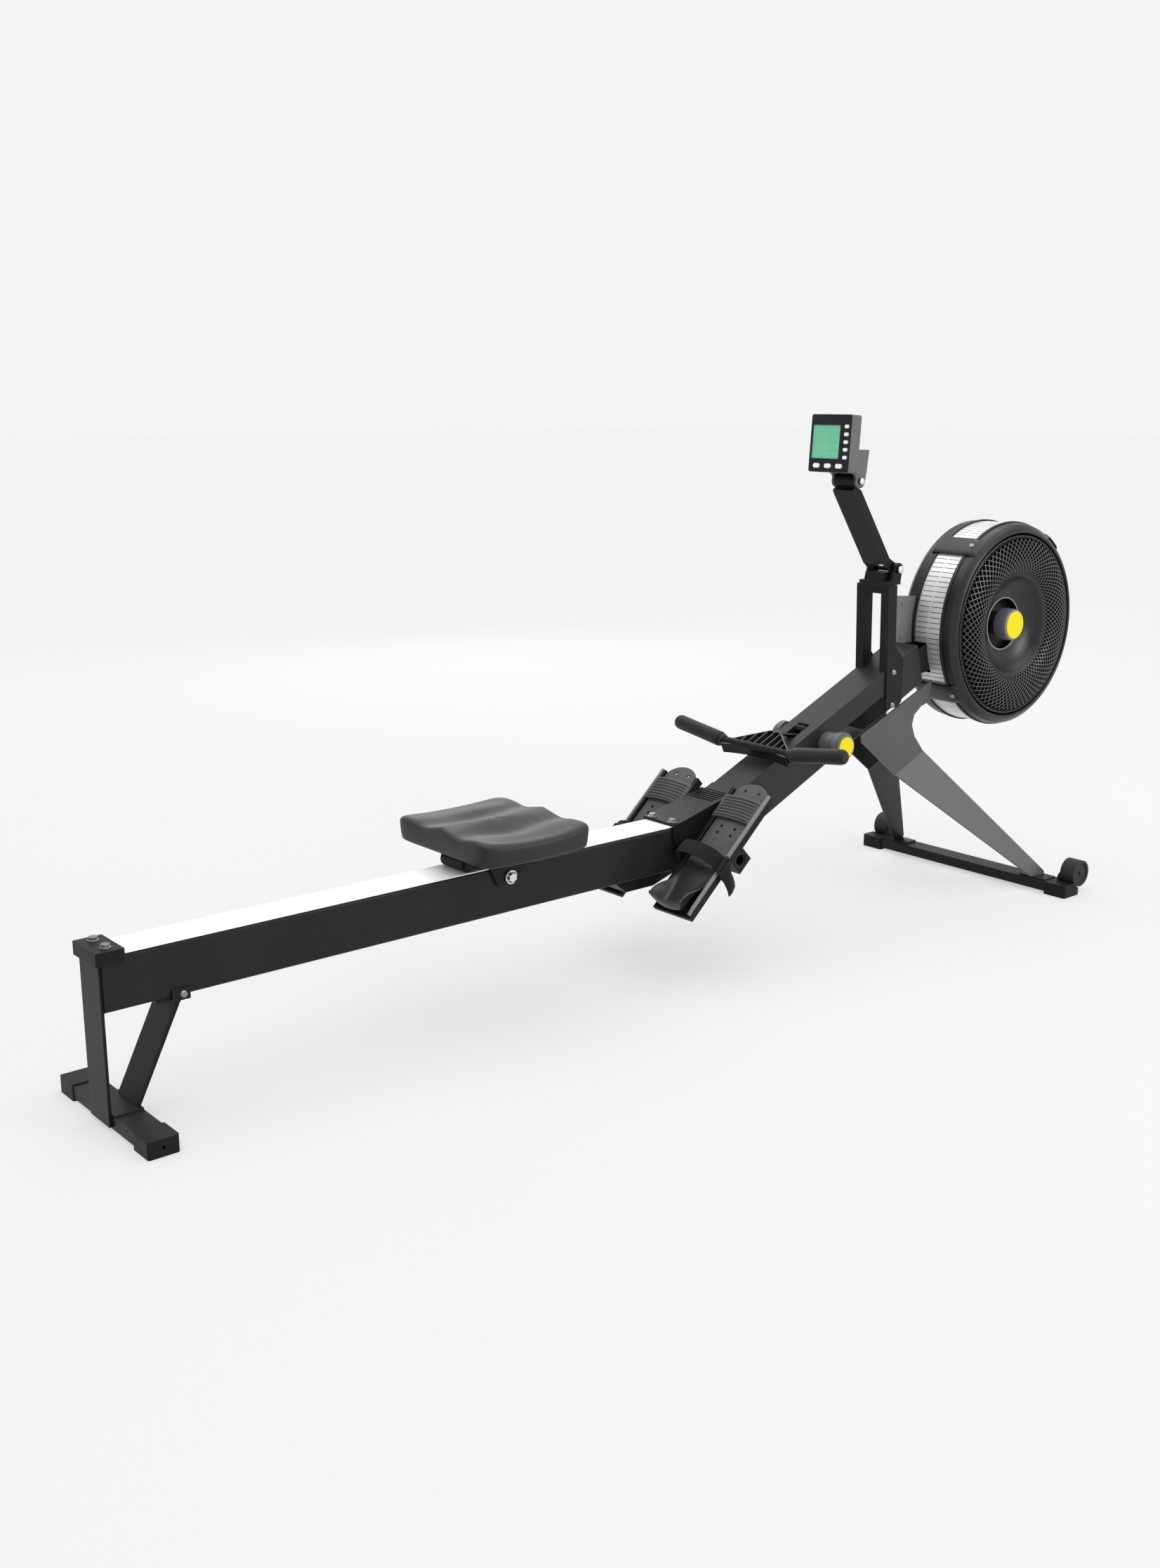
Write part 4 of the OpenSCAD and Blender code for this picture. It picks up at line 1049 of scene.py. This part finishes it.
# name, x, z, steps of radius and distance from the middle, sides, body
STUDS = (
    ("seat_washer_", 741, 262, ((12, 45.2), (13, 46), (13, 47.2), (12, 47.8)), 36, "seat"),
    ("seat_bolt_", 741, 262, ((9.4, 47.6), (9.6, 51.4), (8.2, 52.6)), 6, "seat"),
    ("pivot_screw_", 1664, 927, ((7, 36.6), (7, 38), (5.6, 39.6), (2.5, 40.4)), 32, "arm"),
    ("arm_screw_", 1794, 738, ((8, 42.6), (8, 44.4), (6.4, 46), (3, 46.8)), 32, "frame"),
)
for side, tag in ((-1, "right"), (1, "left")):
    for name, x, z, steps, sides, body in STUDS:
        stud(name + tag, x, z, [(r, side * y) for r, y in steps], sides, "bright_steel", body)

# ---- stage ----

floor_me = bpy.data.meshes.new("floor")
bm = bmesh.new()
bmesh.ops.create_grid(bm, x_segments=2, y_segments=2, size=40)
bm.to_mesh(floor_me)
bm.free()
floor = bpy.data.objects.new("floor", floor_me)
bpy.context.collection.objects.link(floor)
fm, _, fb = node_tree("floor_white", (0.22, 0.22, 0.22), 0.9, 0)
fb.inputs["Specular IOR Level"].default_value = 0.0
fb.inputs["Emission Color"].default_value = (1, 1, 1, 1)
fb.inputs["Emission Strength"].default_value = 0.53
floor.data.materials.append(fm)

# a studio dome: a pale backdrop low down, dimmer above it, bright overhead
world = bpy.data.worlds.new("world")
bpy.context.scene.world = world
world.use_nodes = True
wt = world.node_tree
sky_dir = wt.nodes.new("ShaderNodeTexCoord")
height = wt.nodes.new("ShaderNodeSeparateXYZ")
link(wt, sky_dir.outputs["Generated"], height.inputs[0])
fade = math_node(wt, "MULTIPLY", ramp(wt, height.outputs["Z"], 0.34, 0.46), -0.50)
overhead = math_node(wt, "MULTIPLY", ramp(wt, height.outputs["Z"], 0.55, 0.85), 2.3)
dome = math_node(wt, "ADD", math_node(wt, "ADD", fade, overhead), 0.905)
link(wt, dome, wt.nodes["Background"].inputs["Color"])
wt.nodes["Background"].inputs["Strength"].default_value = 1.0


def area_light(name, place, target, size, power):
    d = bpy.data.lights.new(name, "AREA")
    d.energy = power
    d.size = size
    o = bpy.data.objects.new(name, d)
    bpy.context.collection.objects.link(o)
    o.location = place
    o.rotation_euler = (Vector(target) - Vector(place)).to_track_quat("-Z", "Y").to_euler()
    o.visible_camera = False
    return o


area_light("key", (2.05, -3.5, 1.8), (0.75, -0.1, 0.25), 1.8, 70)
area_light("fill", (2.05, 3.5, 1.8), (0.75, 0.1, 0.25), 1.8, 22)
